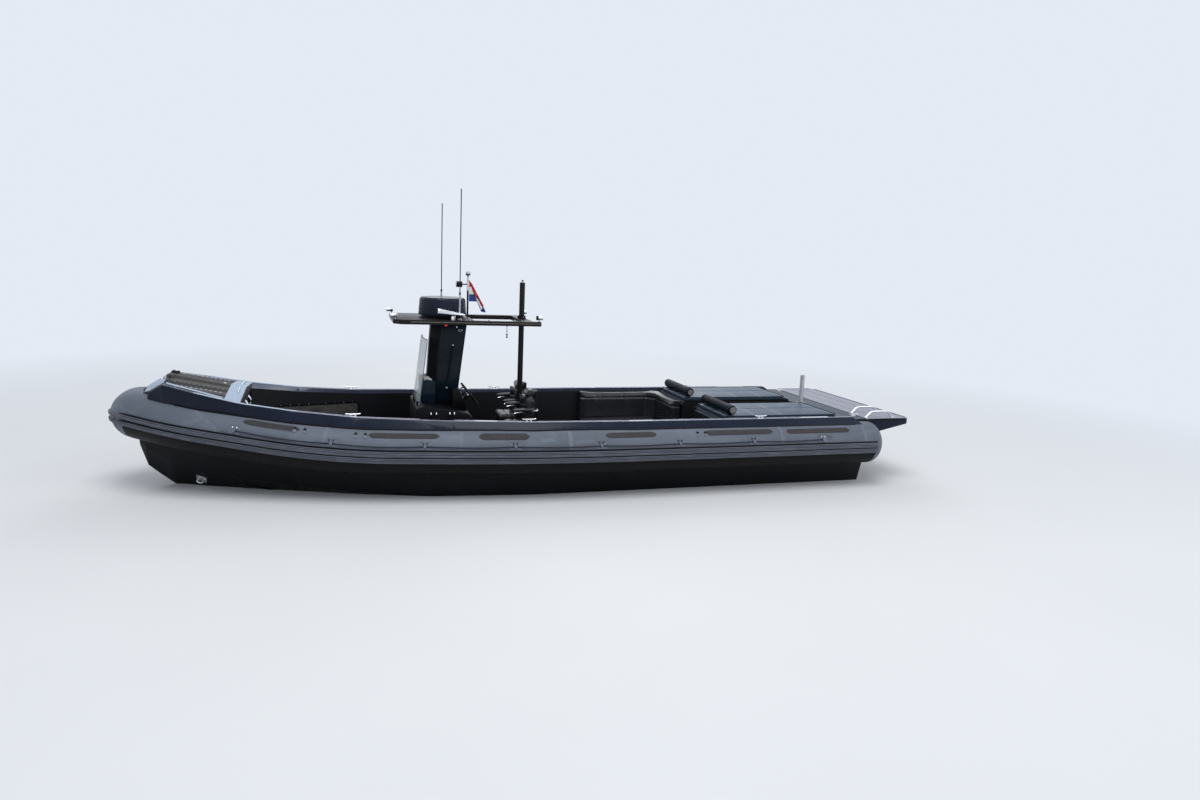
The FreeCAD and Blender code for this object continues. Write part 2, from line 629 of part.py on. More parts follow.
def soft_block(low, high, radius):
    """A plain cushion with rounded long edges."""
    shape = block(low, high)
    return shape.makeFillet(radius, shape.Edges)


pad_port = soft_block((pad_aft, size("lidInner") + size("padInset"), size("lidTop")),
                      (size("lidFore") - 4, size("lidOuter") - size("padInset"), size("lidTop") + size("padThick")),
                      18)
feature("sun_pad_port", pad_port)
feature("sun_pad_starboard", mirrored(pad_port))
bolster_z = size("lidTop") + size("padThick") + size("bolsterRadius") + size("seatGap")
bolster = rod((size("bolsterX"), size("lidInner") + 25, bolster_z),
              (size("bolsterX"), size("lidOuter") - 25, bolster_z), size("bolsterRadius"))
bolster = bolster.makeFillet(14, [e for e in bolster.Edges if e.Curve.TypeId == "Part::GeomCircle"])
feature("headrest_port", bolster)
feature("headrest_starboard", mirrored(bolster))

# Two inboard engines, as plain blocks on their beds
engine = doc.addObject("Part::Box", "EnginePort")
bound(engine, (("Length", "Sizes.engineLength"), ("Width", "Sizes.engineWidth"), ("Height", "Sizes.engineHeight"),
               ("Placement.Base.x", "Sizes.engineAft"), ("Placement.Base.y", "Sizes.engineInner"),
               ("Placement.Base.z", "Sizes.bayFloor")))
engine.Label = "engine_port"
engine_twin = doc.addObject("Part::Box", "EngineStarboard")
bound(engine_twin, (("Length", "Sizes.engineLength"), ("Width", "Sizes.engineWidth"),
                    ("Height", "Sizes.engineHeight"), ("Placement.Base.x", "Sizes.engineAft"),
                    ("Placement.Base.y", "-Sizes.engineInner - Sizes.engineWidth"),
                    ("Placement.Base.z", "Sizes.bayFloor")))
engine_twin.Label = "engine_starboard"

# Sterndrives: shield on the transom, gimbal that steers, leg that tilts, propeller that turns
drive_y = size("driveY")
steer_x = size("steerX")
tilt_x = size("tiltX")
tilt_z = size("tiltHeight")
shield_aft = size("transomX") - size("shieldThick")


def drive_shield():
    plate = block((shield_aft, drive_y - size("shieldHalf"), size("shieldFoot")),
                  (size("transomX"), drive_y + size("shieldHalf"), size("shieldTop")))
    parts = [plate]
    for low in (size("earTop"), size("earFoot")):
        reach = block((steer_x, drive_y - size("earRadius"), low),
                      (shield_aft, drive_y + size("earRadius"), low + size("earThick")))
        eye = Part.makeCylinder(size("earRadius"), size("earThick"), Vector(steer_x, drive_y, low))
        bore = Part.makeCylinder(size("pivotRadius") + size("runGap"), size("earThick") + 2,
                                 Vector(steer_x, drive_y, low - 1))
        parts.append(reach.fuse(eye).cut(bore))
    return fused(parts)


def drive_gimbal():
    foot = size("earFoot") + size("earThick") + 1
    top = size("earTop") - 1
    post_part = Part.makeCylinder(size("gimbalRadius"), top - foot, Vector(steer_x, drive_y, foot))
    pin_foot = size("earFoot")
    pin_top = size("earTop") + size("earThick")
    pivot = Part.makeCylinder(size("pivotRadius"), pin_top - pin_foot, Vector(steer_x, drive_y, pin_foot))
    outer = size("forkInner") + size("forkThick")
    beam = block((steer_x - 32, drive_y - outer, tilt_z - 36), (steer_x, drive_y + outer, tilt_z + 36))
    arms = []
    for low_y in (drive_y - outer, drive_y + size("forkInner")):
        arm = block((tilt_x, low_y, tilt_z - 36), (steer_x - 10, low_y + size("forkThick"), tilt_z + 36))
        tip = rod((tilt_x, low_y, tilt_z), (tilt_x, low_y + size("forkThick"), tilt_z), 36)
        arms += [arm, tip]
    pin = rod((tilt_x, drive_y - outer, tilt_z), (tilt_x, drive_y + outer, tilt_z), size("tiltPin"))
    return fused([post_part, pivot, beam, pin] + arms)


def drive_leg():
    half = size("legHalf")
    y = drive_y - half
    plate_z = size("plateHeight")
    shaft_z = size("shaftHeight")
    boss_half = size("forkInner") - 1
    boss = rod((tilt_x, drive_y - boss_half, tilt_z), (tilt_x, drive_y + boss_half, tilt_z), 42)
    neck = block((tilt_x - 90, drive_y - half, tilt_z - 40), (tilt_x, drive_y + half, tilt_z + 30))
    housing = prism((
        Vector(tilt_x - 52, y, tilt_z + 60), Vector(tilt_x - 200, y, tilt_z + 100),
        Vector(tilt_x - 240, y, tilt_z), Vector(tilt_x - 230, y, plate_z),
        Vector(tilt_x - 72, y, plate_z), Vector(tilt_x - 52, y, tilt_z - 100),
    ), Vector(0, 2 * half, 0))
    housing = housing.makeFillet(18, [e for e in housing.Edges if abs(e.Vertexes[0].Y - e.Vertexes[-1].Y) < 1])
    plate_half = size("plateHalf")
    cavitation = prism((
        Vector(tilt_x - 60, drive_y - 50, plate_z - 12), Vector(tilt_x - 200, drive_y - plate_half, plate_z - 12),
        Vector(tilt_x - 400, drive_y - plate_half, plate_z - 12), Vector(tilt_x - 425, drive_y - 60, plate_z - 12),
        Vector(tilt_x - 425, drive_y + 60, plate_z - 12), Vector(tilt_x - 400, drive_y + plate_half, plate_z - 12),
        Vector(tilt_x - 200, drive_y + plate_half, plate_z - 12), Vector(tilt_x - 60, drive_y + 50, plate_z - 12),
    ), Vector(0, 0, 14))
    strut_half = 30
    strut_low = shaft_z + 30
    strut = loft((
        (Vector(tilt_x - 70, drive_y, plate_z - 5), Vector(tilt_x - 130, drive_y + strut_half, plate_z - 5),
         Vector(tilt_x - 300, drive_y, plate_z - 5), Vector(tilt_x - 130, drive_y - strut_half, plate_z - 5)),
        (Vector(tilt_x - 95, drive_y, strut_low), Vector(tilt_x - 150, drive_y + strut_half, strut_low),
         Vector(tilt_x - 310, drive_y, strut_low), Vector(tilt_x - 150, drive_y - strut_half, strut_low)),
    ))
    torpedo_r = size("torpedoRadius")
    fore = size("torpedoFore")
    aft = size("torpedoAft")
    shell = Part.Wire([
        Part.Arc(Vector(fore, 0, 0), Vector(fore - 32, torpedo_r * 0.72, 0), Vector(fore - 110, torpedo_r, 0)).toShape(),
        Part.LineSegment(Vector(fore - 110, torpedo_r, 0), Vector(aft, torpedo_r * 0.9, 0)).toShape(),
        Part.LineSegment(Vector(aft, torpedo_r * 0.9, 0), Vector(aft, 0, 0)).toShape(),
        Part.LineSegment(Vector(aft, 0, 0), Vector(fore, 0, 0)).toShape(),
    ])
    torpedo = Part.Face(shell).revolve(Vector(0, 0, 0), Vector(1, 0, 0), 360)
    torpedo.translate(Vector(0, drive_y, shaft_z))
    skeg_foot = size("skegFoot")
    skeg = prism((
        Vector(aft + 200, drive_y - 7, shaft_z - torpedo_r * 0.8), Vector(aft + 110, drive_y - 7, skeg_foot),
        Vector(aft + 20, drive_y - 7, skeg_foot), Vector(aft + 30, drive_y - 7, shaft_z - torpedo_r * 0.8),
    ), Vector(0, 14, 0))
    whole = fused([housing, neck, boss, cavitation, strut, torpedo, skeg])
    pin_bore = rod((tilt_x, drive_y - 300, tilt_z), (tilt_x, drive_y + 300, tilt_z),
                   size("tiltPin") + size("runGap"))
    shaft_bore = rod((aft - 5, drive_y, shaft_z), (aft + 90, drive_y, shaft_z), 16 + size("runGap"))
    return whole.cut(pin_bore).cut(shaft_bore)


def propeller():
    aft = size("torpedoAft")
    shaft_z = size("shaftHeight")
    hub_start = aft - 3
    hub_end = hub_start - size("hubLength")
    hub_r = size("hubRadius") * 0.92
    hub = Part.makeCone(hub_r, hub_r * 0.72, size("hubLength"), Vector(hub_start, drive_y, shaft_z), Vector(-1, 0, 0))
    shaft = rod((aft + 80, drive_y, shaft_z), (hub_start - 10, drive_y, shaft_z), 16)
    blade_r = (size("propRadius") - 40) / 2
    blade_far = size("propRadius") - blade_r
    parts = [hub, shaft]
    middle_x = (hub_start + hub_end) / 2
    for index in range(int(size("bladeCount"))):
        blade = Part.makeCylinder(blade_r, size("bladeThick"), Vector(-size("bladeThick") / 2, 0, 0), Vector(1, 0, 0))
        blade = blade.translated(Vector(0, 0, blade_far))
        blade.rotate(Vector(0, 0, 0), Vector(0, 0, 1), 32)
        blade.rotate(Vector(0, 0, 0), Vector(1, 0, 0), 360.0 * index / size("bladeCount"))
        blade.translate(Vector(middle_x, drive_y, shaft_z))
        parts.append(blade)
    return fused(parts)


feature("drive_shields", both(drive_shield()))
gimbal_port = drive_gimbal()
feature("gimbal_port", gimbal_port)
feature("gimbal_starboard", mirrored(gimbal_port))
leg_port = drive_leg()
feature("drive_leg_port", leg_port)
feature("drive_leg_starboard", mirrored(leg_port))
propeller_port = propeller()
feature("propeller_port", propeller_port)
feature("propeller_starboard", mirrored(propeller_port))

# Console moulding and dash
console, console_pad = padded_body("console", "XZ_Plane", (
    ("Sizes.consoleAft", "Sizes.soleHeight"),
    ("Sizes.consoleAft", "Sizes.consoleHeight - 60"),
    ("Sizes.consoleAft + 60", "Sizes.consoleHeight"),
    ("Sizes.consoleFore - 120", "Sizes.consoleHeight + 100"),
    ("Sizes.consoleFore", "Sizes.consoleHeight + 60"),
    ("Sizes.consoleFore + 60", "Sizes.soleHeight"),
), "2 * Sizes.consoleHalf")
# Pylon: a leaning hollow-looking fin with a chamfered fore edge, which carries the roof
def pylon_ring(aft, fore, z):
    half = size("pylonHalf")
    cut = size("pylonChamfer")
    return (Vector(aft, half, z), Vector(fore - cut, half, z), Vector(fore, half - cut, z),
            Vector(fore, cut - half, z), Vector(fore - cut, -half, z), Vector(aft, -half, z))


pylon = loft((pylon_ring(size("pylonAftFoot"), size("pylonForeFoot"), size("consoleHeight") + 10),
              pylon_ring(size("pylonAftTop"), size("pylonForeTop"), size("roofHeight"))))
console_cutter = prism((
    Vector(size("consoleAft"), -600, 0), Vector(size("consoleAft"), -600, size("consoleHeight") - 60),
    Vector(size("consoleAft") + 60, -600, size("consoleHeight")),
    Vector(size("consoleFore") - 120, -600, size("consoleHeight") + 100),
    Vector(size("consoleFore"), -600, size("consoleHeight") + 60), Vector(size("consoleFore") + 60, -600, 0),
), Vector(0, 1200, 0))
plate_sides = []
for side in (-1, 1):
    plate_corners = []
    for z in (size("plateFoot"), size("plateTop")):
        up = (z - size("consoleHeight") - 10) / (size("roofHeight") - size("consoleHeight") - 10)
        aft_edge = size("pylonAftFoot") + (size("pylonAftTop") - size("pylonAftFoot")) * up + size("plateInset")
        fore_edge = (size("pylonForeFoot") + (size("pylonForeTop") - size("pylonForeFoot")) * up
                     - size("pylonChamfer") - size("plateInset"))
        pair = [Vector(aft_edge, side * size("pylonHalf"), z), Vector(fore_edge, side * size("pylonHalf"), z)]
        plate_corners += pair if z == size("plateFoot") else pair[::-1]
    plate_sides.append(prism(plate_corners, Vector(0, side * size("plateProud"), 0)))
pylon_shape = pylon.cut(console_cutter)
for plate in plate_sides:
    pylon_shape = pylon_shape.fuse(plate)
feature("pylon", pylon_shape)

# Open box round the pylon's fore foot, on the console top
box_low = (size("boxAft"), -size("boxHalf"), size("consoleHeight"))
box_high = (size("boxFore"), size("boxHalf"), size("boxTop"))
wall = size("boxWall")
foot_box = block(box_low, box_high).cut(console_cutter).cut(pylon)
hollow = block((box_low[0] + wall, box_low[1] + wall, size("boxTop") - size("boxDeep")),
               (box_high[0] - wall, box_high[1] - wall, size("boxTop") + 1))
feature("console_box", foot_box.cut(hollow))

# Dash housing between the console's aft brow and the pylon, its face square to the wheel's column
dash_half = size("dashHalf")
dash_low = size("consoleHeight")
dash_low_x = size("consoleAft") + 58
dash_top_x = size("pylonAftFoot") - 30
dash_block = prism((
    Vector(dash_low_x, -dash_half, dash_low), Vector(dash_top_x, -dash_half, size("dashHeight")),
    Vector(size("pylonAftFoot") + 60, -dash_half, size("dashHeight")), Vector(size("pylonAftFoot") + 60, -dash_half, dash_low),
), Vector(0, 2 * dash_half, 0)).cut(console_cutter).cut(pylon_shape)

# Steering wheel on its column, square to the dash
wheel_turn = math.radians(size("wheelTilt"))
wheel_axis = Vector(-math.cos(wheel_turn), 0, math.sin(wheel_turn))
wheel_centre = Vector(size("wheelX"), 0, size("wheelHeight"))
rim = Part.makeTorus(size("wheelRadius"), size("wheelRim"), wheel_centre, wheel_axis)
hub = Part.makeCylinder(size("wheelHub"), 30, wheel_centre - wheel_axis * 30, wheel_axis)
spokes = []
for index in range(3):
    across = Vector(0, 1, 0)
    turn = Rotation(wheel_axis, 90 + 120 * index)
    outward = turn.multVec(across)
    spokes.append(rod(wheel_centre - wheel_axis * 12, wheel_centre + outward * (size("wheelRadius") - 3), 9))
feature("steering_wheel", fused([rim, hub] + spokes))
column_start = wheel_centre - wheel_axis * 31
column = Part.makeCylinder(24, 140, column_start - wheel_axis * 140, wheel_axis)
feature("dash", dash_block.fuse(column.cut(console_cutter)))

# Screen on the fore edge of the console top, leaning aft and swept back at its sides
def screen_ring(z):
    half = size("screenHalf")
    thick = size("screenThick")
    fore = size("consoleFore") - size("screenFootAhead") - (z - size("consoleHeight")) * size("screenLean")
    sweep = size("screenSweep")
    return (Vector(fore, half * 0.6, z), Vector(fore - sweep, half, z), Vector(fore - sweep - thick, half, z),
            Vector(fore - thick, half * 0.6 - 1, z), Vector(fore - thick, 1 - half * 0.6, z),
            Vector(fore - sweep - thick, -half, z), Vector(fore - sweep, -half, z), Vector(fore, -half * 0.6, z))


screen = loft((screen_ring(size("consoleHeight")), screen_ring(size("screenTop"))))
feature("windscreen", screen.cut(console_cutter))

# Roof: a thin slab with two arms aft and the mast's cross-bar
roof, roof_pad = padded_body("roof", "XY_Plane", (
    ("Sizes.roofFore - Sizes.roofCorner", "Sizes.roofHalf"),
    ("Sizes.roofAft", "Sizes.roofHalf"),
    ("Sizes.roofAft", "Sizes.roofHalf - Sizes.armWidth"),
    ("Sizes.mastX - 60", "Sizes.roofHalf - Sizes.armWidth"),
    ("Sizes.mastX - 60", "Sizes.armWidth - Sizes.roofHalf"),
    ("Sizes.roofAft", "Sizes.armWidth - Sizes.roofHalf"),
    ("Sizes.roofAft", "-Sizes.roofHalf"),
    ("Sizes.roofFore - Sizes.roofCorner", "-Sizes.roofHalf"),
    ("Sizes.roofFore", "Sizes.roofCorner - Sizes.roofHalf"),
    ("Sizes.roofFore", "Sizes.roofHalf - Sizes.roofCorner"),
), "Sizes.roofThick", False, ("z", "Sizes.roofHeight"))
pocket_sketch = outline(roof, "XY_Plane", (
    ("Sizes.roofMid", "Sizes.roofHalf - Sizes.armWidth"),
    ("Sizes.mastX + 60", "Sizes.roofHalf - Sizes.armWidth"),
    ("Sizes.mastX + 60", "Sizes.armWidth - Sizes.roofHalf"),
    ("Sizes.roofMid", "Sizes.armWidth - Sizes.roofHalf"),
))
window = roof.newObject("PartDesign::Pocket", "RoofWindow")
window.Profile = pocket_sketch
window.Type = "ThroughAll"
window.Reversed = True
roof.Tip = window
doc.recompute()
mast_sketch = roof.newObject("Sketcher::SketchObject", "MastHole")
mast_sketch.AttachmentSupport = [(origin_plane(roof, "XY_Plane"), "")]
mast_sketch.MapMode = "FlatFace"
mast_sketch.addGeometry(Part.Circle(Vector(200, 0, 0), Vector(0, 0, 1), 30), False)
number = mast_sketch.addConstraint(Sketcher.Constraint("DistanceX", -1, 1, 0, 3, 200))
mast_sketch.setExpression("Constraints[%d]" % number, "Sizes.mastX")
mast_sketch.addConstraint(Sketcher.Constraint("PointOnObject", 0, 3, -1))
number = mast_sketch.addConstraint(Sketcher.Constraint("Radius", 0, 30))
mast_sketch.setExpression("Constraints[%d]" % number, "Sizes.mastRadius + Sizes.seatGap")
mast_hole = roof.newObject("PartDesign::Pocket", "RoofMastHole")
mast_hole.Profile = mast_sketch
mast_hole.Type = "ThroughAll"
mast_hole.Reversed = True
roof.Tip = mast_hole
doc.recompute()
roof_top = size("roofHeight") + size("roofThick")

mast = doc.addObject("Part::Cylinder", "Mast")
bound(mast, (("Radius", "Sizes.mastRadius"), ("Height", "Sizes.mastTop - Sizes.soleHeight"),
             ("Placement.Base.x", "Sizes.mastX"), ("Placement.Base.z", "Sizes.soleHeight")))
mast.Label = "MastTube"
mast_tip = doc.addObject("Part::Cylinder", "MastTip")
bound(mast_tip, (("Radius", "Sizes.mastRadius / 3"), ("Height", "Sizes.mastTip + 10"),
                 ("Placement.Base.x", "Sizes.mastX"), ("Placement.Base.z", "Sizes.mastTop - 10")))
whole_mast = doc.addObject("Part::Fuse", "WholeMast")
whole_mast.Base = mast
whole_mast.Tool = mast_tip
whole_mast.Label = "mast"

# Radar dome: sides that taper up to a tight shoulder, on a low foot
dome_r = size("radomeRadius")
dome_foot = size("radomeFoot")
dome_top = dome_foot + size("radomeHeight")
dome_side = size("radomeSide")
shoulder = size("radomeShoulder")
dome_profile = Part.Wire([
    Part.LineSegment(Vector(0, 0, 0), Vector(dome_r * 0.8, 0, 0)).toShape(),
    Part.LineSegment(Vector(dome_r * 0.8, 0, 0), Vector(dome_r * 0.8, 0, dome_foot)).toShape(),
    Part.LineSegment(Vector(dome_r * 0.8, 0, dome_foot), Vector(dome_r, 0, dome_foot)).toShape(),
    Part.LineSegment(Vector(dome_r, 0, dome_foot), Vector(dome_side, 0, dome_top - shoulder)).toShape(),
    Part.Arc(Vector(dome_side, 0, dome_top - shoulder),
             Vector(dome_side - shoulder * 0.32, 0, dome_top - shoulder * 0.33),
             Vector(dome_side - shoulder, 0, dome_top - 8)).toShape(),
    Part.LineSegment(Vector(dome_side - shoulder, 0, dome_top - 8), Vector(0, 0, dome_top)).toShape(),
    Part.LineSegment(Vector(0, 0, dome_top), Vector(0, 0, 0)).toShape(),
])
radome = Part.Face(dome_profile).revolve(Vector(0, 0, 0), Vector(0, 0, 1), 360)
radome.translate(Vector(size("radomeX"), 0, roof_top))
feature("radome", radome)

# Whips, light pole and search lamp
whip_y = size("whipY")
whips = []
for whip_x, whip_side, whip_top in ((size("whipFore"), -1, size("whipForeTop")),
                                    (size("whipAft"), 1, size("whipAftTop"))):
    base = Part.makeCylinder(18, 55, Vector(whip_x, whip_side * whip_y, roof_top))
    ferrule = Part.makeCylinder(11, 240, Vector(whip_x, whip_side * whip_y, roof_top + 50))
    whip = Part.makeCylinder(size("whipRadius"), whip_top - roof_top - 280,
                             Vector(whip_x, whip_side * whip_y, roof_top + 280))
    whips.append(fused([base, ferrule, whip]))
feature("whip_aerials", Part.makeCompound(whips))
pole = Part.makeCylinder(size("poleRadius"), size("poleTop") - roof_top,
                         Vector(size("poleX"), size("poleY"), roof_top))
pole_light = Part.makeCylinder(30, 45, Vector(size("poleX"), size("poleY"), size("poleTop") - 25))
bracket = rod((size("poleX"), size("poleY"), size("lampHeight")), (size("lampX"), size("poleY"), size("lampHeight")), 8)
lamp = rod((size("lampX") - 5, size("poleY"), size("lampHeight")),
           (size("lampX") + 70, size("poleY"), size("lampHeight")), size("lampRadius"))
feature("light_pole", fused([pole, pole_light, bracket, lamp]))

flag_aft = size("poleX")
flag_low = roof_top + 4
flag_y = size("poleY") - size("flagThick") / 2
flag = prism((
    Vector(flag_aft, flag_y, size("flagHoist")), Vector(flag_aft - 45, flag_y, size("flagHoist") - 20),
    Vector(flag_aft - 165, flag_y, flag_low + 240), Vector(flag_aft - 210, flag_y, flag_low + 115),
    Vector(flag_aft - 150, flag_y, flag_low), Vector(flag_aft - 45, flag_y, flag_low + 60),
    Vector(flag_aft, flag_y, flag_low + 190),
), Vector(0, size("flagThick"), 0))
feature("flag", flag.cut(pole))

# Horns, roof lamps and the console's small fittings
horns = []
for horn_y in (size("roofHalf") - 75, size("roofHalf") - 135):
    stand = Part.makeCylinder(8, 60, Vector(size("radomeX") - 100, horn_y, roof_top))
    horn = Part.makeCone(10, 38, 330, Vector(size("radomeX") - 220, horn_y, roof_top + 62), Vector(1, 0, 0.12))
    horns.append(stand.fuse(horn))

lamps = []
for lamp_x, lamp_y, reach in ((size("roofFore") - 25, size("roofHalf") - 75, 60), (size("roofFore") - 25, 75 - size("roofHalf"), 60),
                              (size("roofAft") + 20, size("roofHalf") - 45, -40), (size("roofAft") + 20, 45 - size("roofHalf"), -40)):
    lamp_stem = Part.makeCylinder(7, 30, Vector(lamp_x, lamp_y, roof_top))
    lamp_head = rod((lamp_x - reach / 3, lamp_y, roof_top + 48), (lamp_x + reach, lamp_y, roof_top + 48), 26)
    lamps.append(lamp_stem.fuse(lamp_head))
pull_x = size("pullX")
pull_y = size("roofHalf") - size("armWidth") / 2
pull = Part.makeCylinder(8, size("pullLength"), Vector(pull_x, pull_y, size("roofHeight") - size("pullLength")))
feature("roof_fittings", Part.makeCompound(horns + lamps + [pull]))

# Throttle box with two levers, on the dash's sloping face to starboard
throttle_y = size("throttleY")
face_up = Vector(dash_top_x - dash_low_x, 0, size("dashHeight") - dash_low).normalize()
face_out = Vector(-face_up.z, 0, face_up.x)
box_foot = Vector(dash_low_x, throttle_y, dash_low) + face_up * size("throttleRise")
box_side = Vector(0, size("throttleHalf"), 0)
throttle_parts = [prism((box_foot - box_side, box_foot + box_side,
                         box_foot + box_side + face_up * size("throttleTall"),
                         box_foot - box_side + face_up * size("throttleTall")), face_out * size("throttleDeep"))]
for lever_y in (-size("leverSpread"), size("leverSpread")):
    lever_foot = box_foot + face_up * (size("throttleTall") / 2) + Vector(0, lever_y, 0)
    lever_top = lever_foot + face_out * size("leverReach") + face_up * size("leverReach") * 0.45
    knob_end = Vector(0, size("knobRadius"), 0)
    throttle_parts += [rod(lever_foot + face_out * 10, lever_top, 6), rod(lever_top - knob_end, lever_top + knob_end, 12)]
feature("throttle", fused(throttle_parts))

# Foredeck bulkhead ladder: two stiles and rungs on the well's fore wall
ladder_x = size("wellFore") - 22
ladder_parts = []
for stile_y in (-170, 170):
    ladder_parts.append(tube_between((
        (ladder_x, stile_y, size("soleHeight")), (ladder_x, stile_y, 990),
        (size("wellFore") + 20, stile_y, 1045)), 14, 0.4))
for rung in range(4):
    rung_z = 280 + 220 * rung
    ladder_parts.append(rod((ladder_x, -170, rung_z), (ladder_x, 170, rung_z), 11))

# Helm seats: pedestal, sprung frame, cushion, curved back and headrest, port and starboard
seat_x = size("helmSeatX")
seat_half = size("helmSeatHalf")
seat_z = size("helmSeatHeight")


def helm_seat_frame(seat_y):
    base = block((seat_x - 150, seat_y - 150, size("soleHeight")), (seat_x + 170, seat_y + 150, seat_z - 320))
    column_part = Part.makeCylinder(45, 250, Vector(seat_x, seat_y, seat_z - 325))
    pan = block((seat_x - 170, seat_y - seat_half + 20, seat_z - 90), (seat_x + 190, seat_y + seat_half - 20, seat_z - 60))
    back_post = block((seat_x - 200, seat_y - 60, seat_z - 90), (seat_x - 165.3, seat_y + 60, seat_z + 455))
    return fused([base, column_part, pan, back_post])


def helm_seat_cushion(seat_y):
    squab = soft_block((seat_x - 165, seat_y - seat_half, seat_z - 59.5),
                       (seat_x + 210, seat_y + seat_half, seat_z + 45), 30)
    return squab


def helm_seat_back(seat_y):
    inner = 240
    outer = 320
    centre = Vector(seat_x + 155, seat_y, seat_z + 48)
    ring = Part.makeCylinder(outer, 330, centre).cut(Part.makeCylinder(inner, 330, centre))
    keep = block((seat_x - 166, seat_y - seat_half + 8, seat_z), (seat_x - 5, seat_y + seat_half - 8, seat_z + 500))
    shell = ring.common(keep)
    return shell


seat_frames = []
cushions = []
backs = []
for seat_y in (size("helmSeatY"), -size("helmSeatY")):
    seat_frames.append(helm_seat_frame(seat_y))
    cushions.append(helm_seat_cushion(seat_y))
    backs.append(helm_seat_back(seat_y))
    head = rod((seat_x - 105, seat_y - 110, seat_z + 440), (seat_x - 105, seat_y + 110, seat_z + 440), 60)
    backs.append(head.makeFillet(20, [e for e in head.Edges if e.Curve.TypeId == "Part::GeomCircle"]))
feature("helm_seat_frames", Part.makeCompound(seat_frames))
feature("helm_seat_cushions", Part.makeCompound(cushions))
feature("helm_seat_backs", Part.makeCompound(backs))
feature("deck_ladder", fused(ladder_parts).cut(hull_shape))

# Lounge: moulded benches round the aft end of the cockpit, with seat and back cushions
sole = size("soleHeight")
bench_h = size("benchHeight")
bench_in = size("benchInner")
bench_aft = size("benchAft")
bench_fore = size("benchFore")
well_y = well_aft_y - size("seatGap")
back_in = well_y - size("backThick")
stern_x = size("wellAft") + 5
seat_top = bench_h + size("cushionThick")
gap = size("seatGap")

# Plan of one side: along the well's side and across its aft end
bench_plan = (
    Vector(bench_fore, well_y, sole), Vector(bench_fore, bench_in, sole), Vector(bench_aft + 130, bench_in, sole),
    Vector(bench_aft, bench_in - 130, sole), Vector(bench_aft, size("sternBenchInner"), sole),
    Vector(stern_x, size("sternBenchInner"), sole), Vector(stern_x, well_y - 60, sole),
    Vector(stern_x + 60, well_y, sole),
)
low_y = 1055
bench_starboard = mirrored(prism([Vector(p.x, min(p.y, low_y), p.z) for p in bench_plan], Vector(0, 0, bench_h - sole)))
seat_plan = (
    Vector(bench_fore - 8, back_in - 4, 0), Vector(bench_fore - 8, bench_in - 15, 0),
    Vector(bench_aft + 135, bench_in - 15, 0), Vector(bench_aft - 5, bench_in - 145, 0),
    Vector(bench_aft - 5, size("sternBenchInner") + 10, 0),
    Vector(stern_x + size("backThick") + 4, size("sternBenchInner") + 10, 0),
    Vector(stern_x + size("backThick") + 4, back_in - 120, 0), Vector(stern_x + size("backThick") + 120, back_in - 4, 0),
)
seat_starboard = mirrored(prism([Vector(p.x, p.y, bench_h + gap) for p in seat_plan], Vector(0, 0, size("cushionThick"))))
back_plan = (
    Vector(bench_fore - 8, well_y, 0), Vector(bench_fore - 8, back_in, 0), Vector(stern_x + size("backThick") + 120, back_in, 0),
    Vector(stern_x + size("backThick"), back_in - 120, 0), Vector(stern_x + size("backThick"), size("sternBenchInner") + 10, 0),
    Vector(stern_x, size("sternBenchInner") + 10, 0), Vector(stern_x, well_y - 90, 0), Vector(stern_x + 90, well_y, 0),
)
back_starboard = mirrored(prism([Vector(p.x, p.y, bench_h + gap) for p in back_plan],
                                Vector(0, 0, size("backTop") - bench_h)))
# Port side: a short bench and the curved steps up to the aft deck
port_bench = block((bench_aft + 400, bench_in, sole), (bench_fore, low_y, bench_h))
port_seat = soft_block((bench_aft + 408, bench_in - 15, bench_h + gap),
                       (bench_fore - 8, back_in - 4, seat_top), 30)
port_back = soft_block((bench_aft + 408, back_in, bench_h + gap), (bench_fore - 8, well_y, size("backTop")), 30)
feature("benches", Part.makeCompound([bench_starboard, port_bench]))
feature("bench_seats", Part.makeCompound([seat_starboard, port_seat]))
feature("bench_backs", Part.makeCompound([back_starboard, port_back]))
steps = []
step_corner = Vector(stern_x, low_y, sole)
rise = size("stepRise")
run = size("stepRun")
for index in range(4):
    radius = 500 + run * (3 - index) / 2
    step = Part.makeCylinder(radius, rise * (index + 1), step_corner)
    steps.append(step.common(block((stern_x, 0, sole), (stern_x + 2000, low_y, sole + 5 * rise))))
feature("aft_steps", fused(steps).common(block((stern_x, 225, sole), (stern_x + 2000, low_y, sole + 5 * rise))))

# Lifeline round each side of the collar, held by webbing clips
rope_r = size("ropeRadius")
clip_lift = size("clipThick") + rope_r + 4.5
clip_count = int(size("clipCount"))
clips = []
clip_span = (size("ropeStart") - size("ropeEnd")) / (clip_count - 1)


def on_collar(x, angle, lift):
    return tube_point(x, angle, R + lift)


rope_points = []
per_span = 5
for index in range((clip_count - 1) * per_span + 1):
    x = size("ropeStart") - clip_span * index / per_span
    droop = 2.2 * math.sin(math.pi * (index % per_span) / per_span)
    lift = clip_lift if index % per_span == 0 else rope_r + 6.5
    rope_points.append(on_collar(x, size("ropeAngle") - droop, lift)[0])
rope_path = rounded_path(rope_points, 0.45)
rope_ring = Part.Wire([Part.makeCircle(rope_r, rope_points[0], (rope_points[1] - rope_points[0]))])
rope = swept(rope_path, rope_ring)
feature("lifelines", both(rope))
bend_radii = [edge.Curve.Radius for edge in rope_path.Edges if hasattr(edge.Curve, "Radius")]
print("lifeline bends", round(min(bend_radii)), "to", round(max(bend_radii)), "mm; volume over section times length",
      round(rope.Volume / (math.pi * rope_r * rope_r * rope_path.Length), 4))

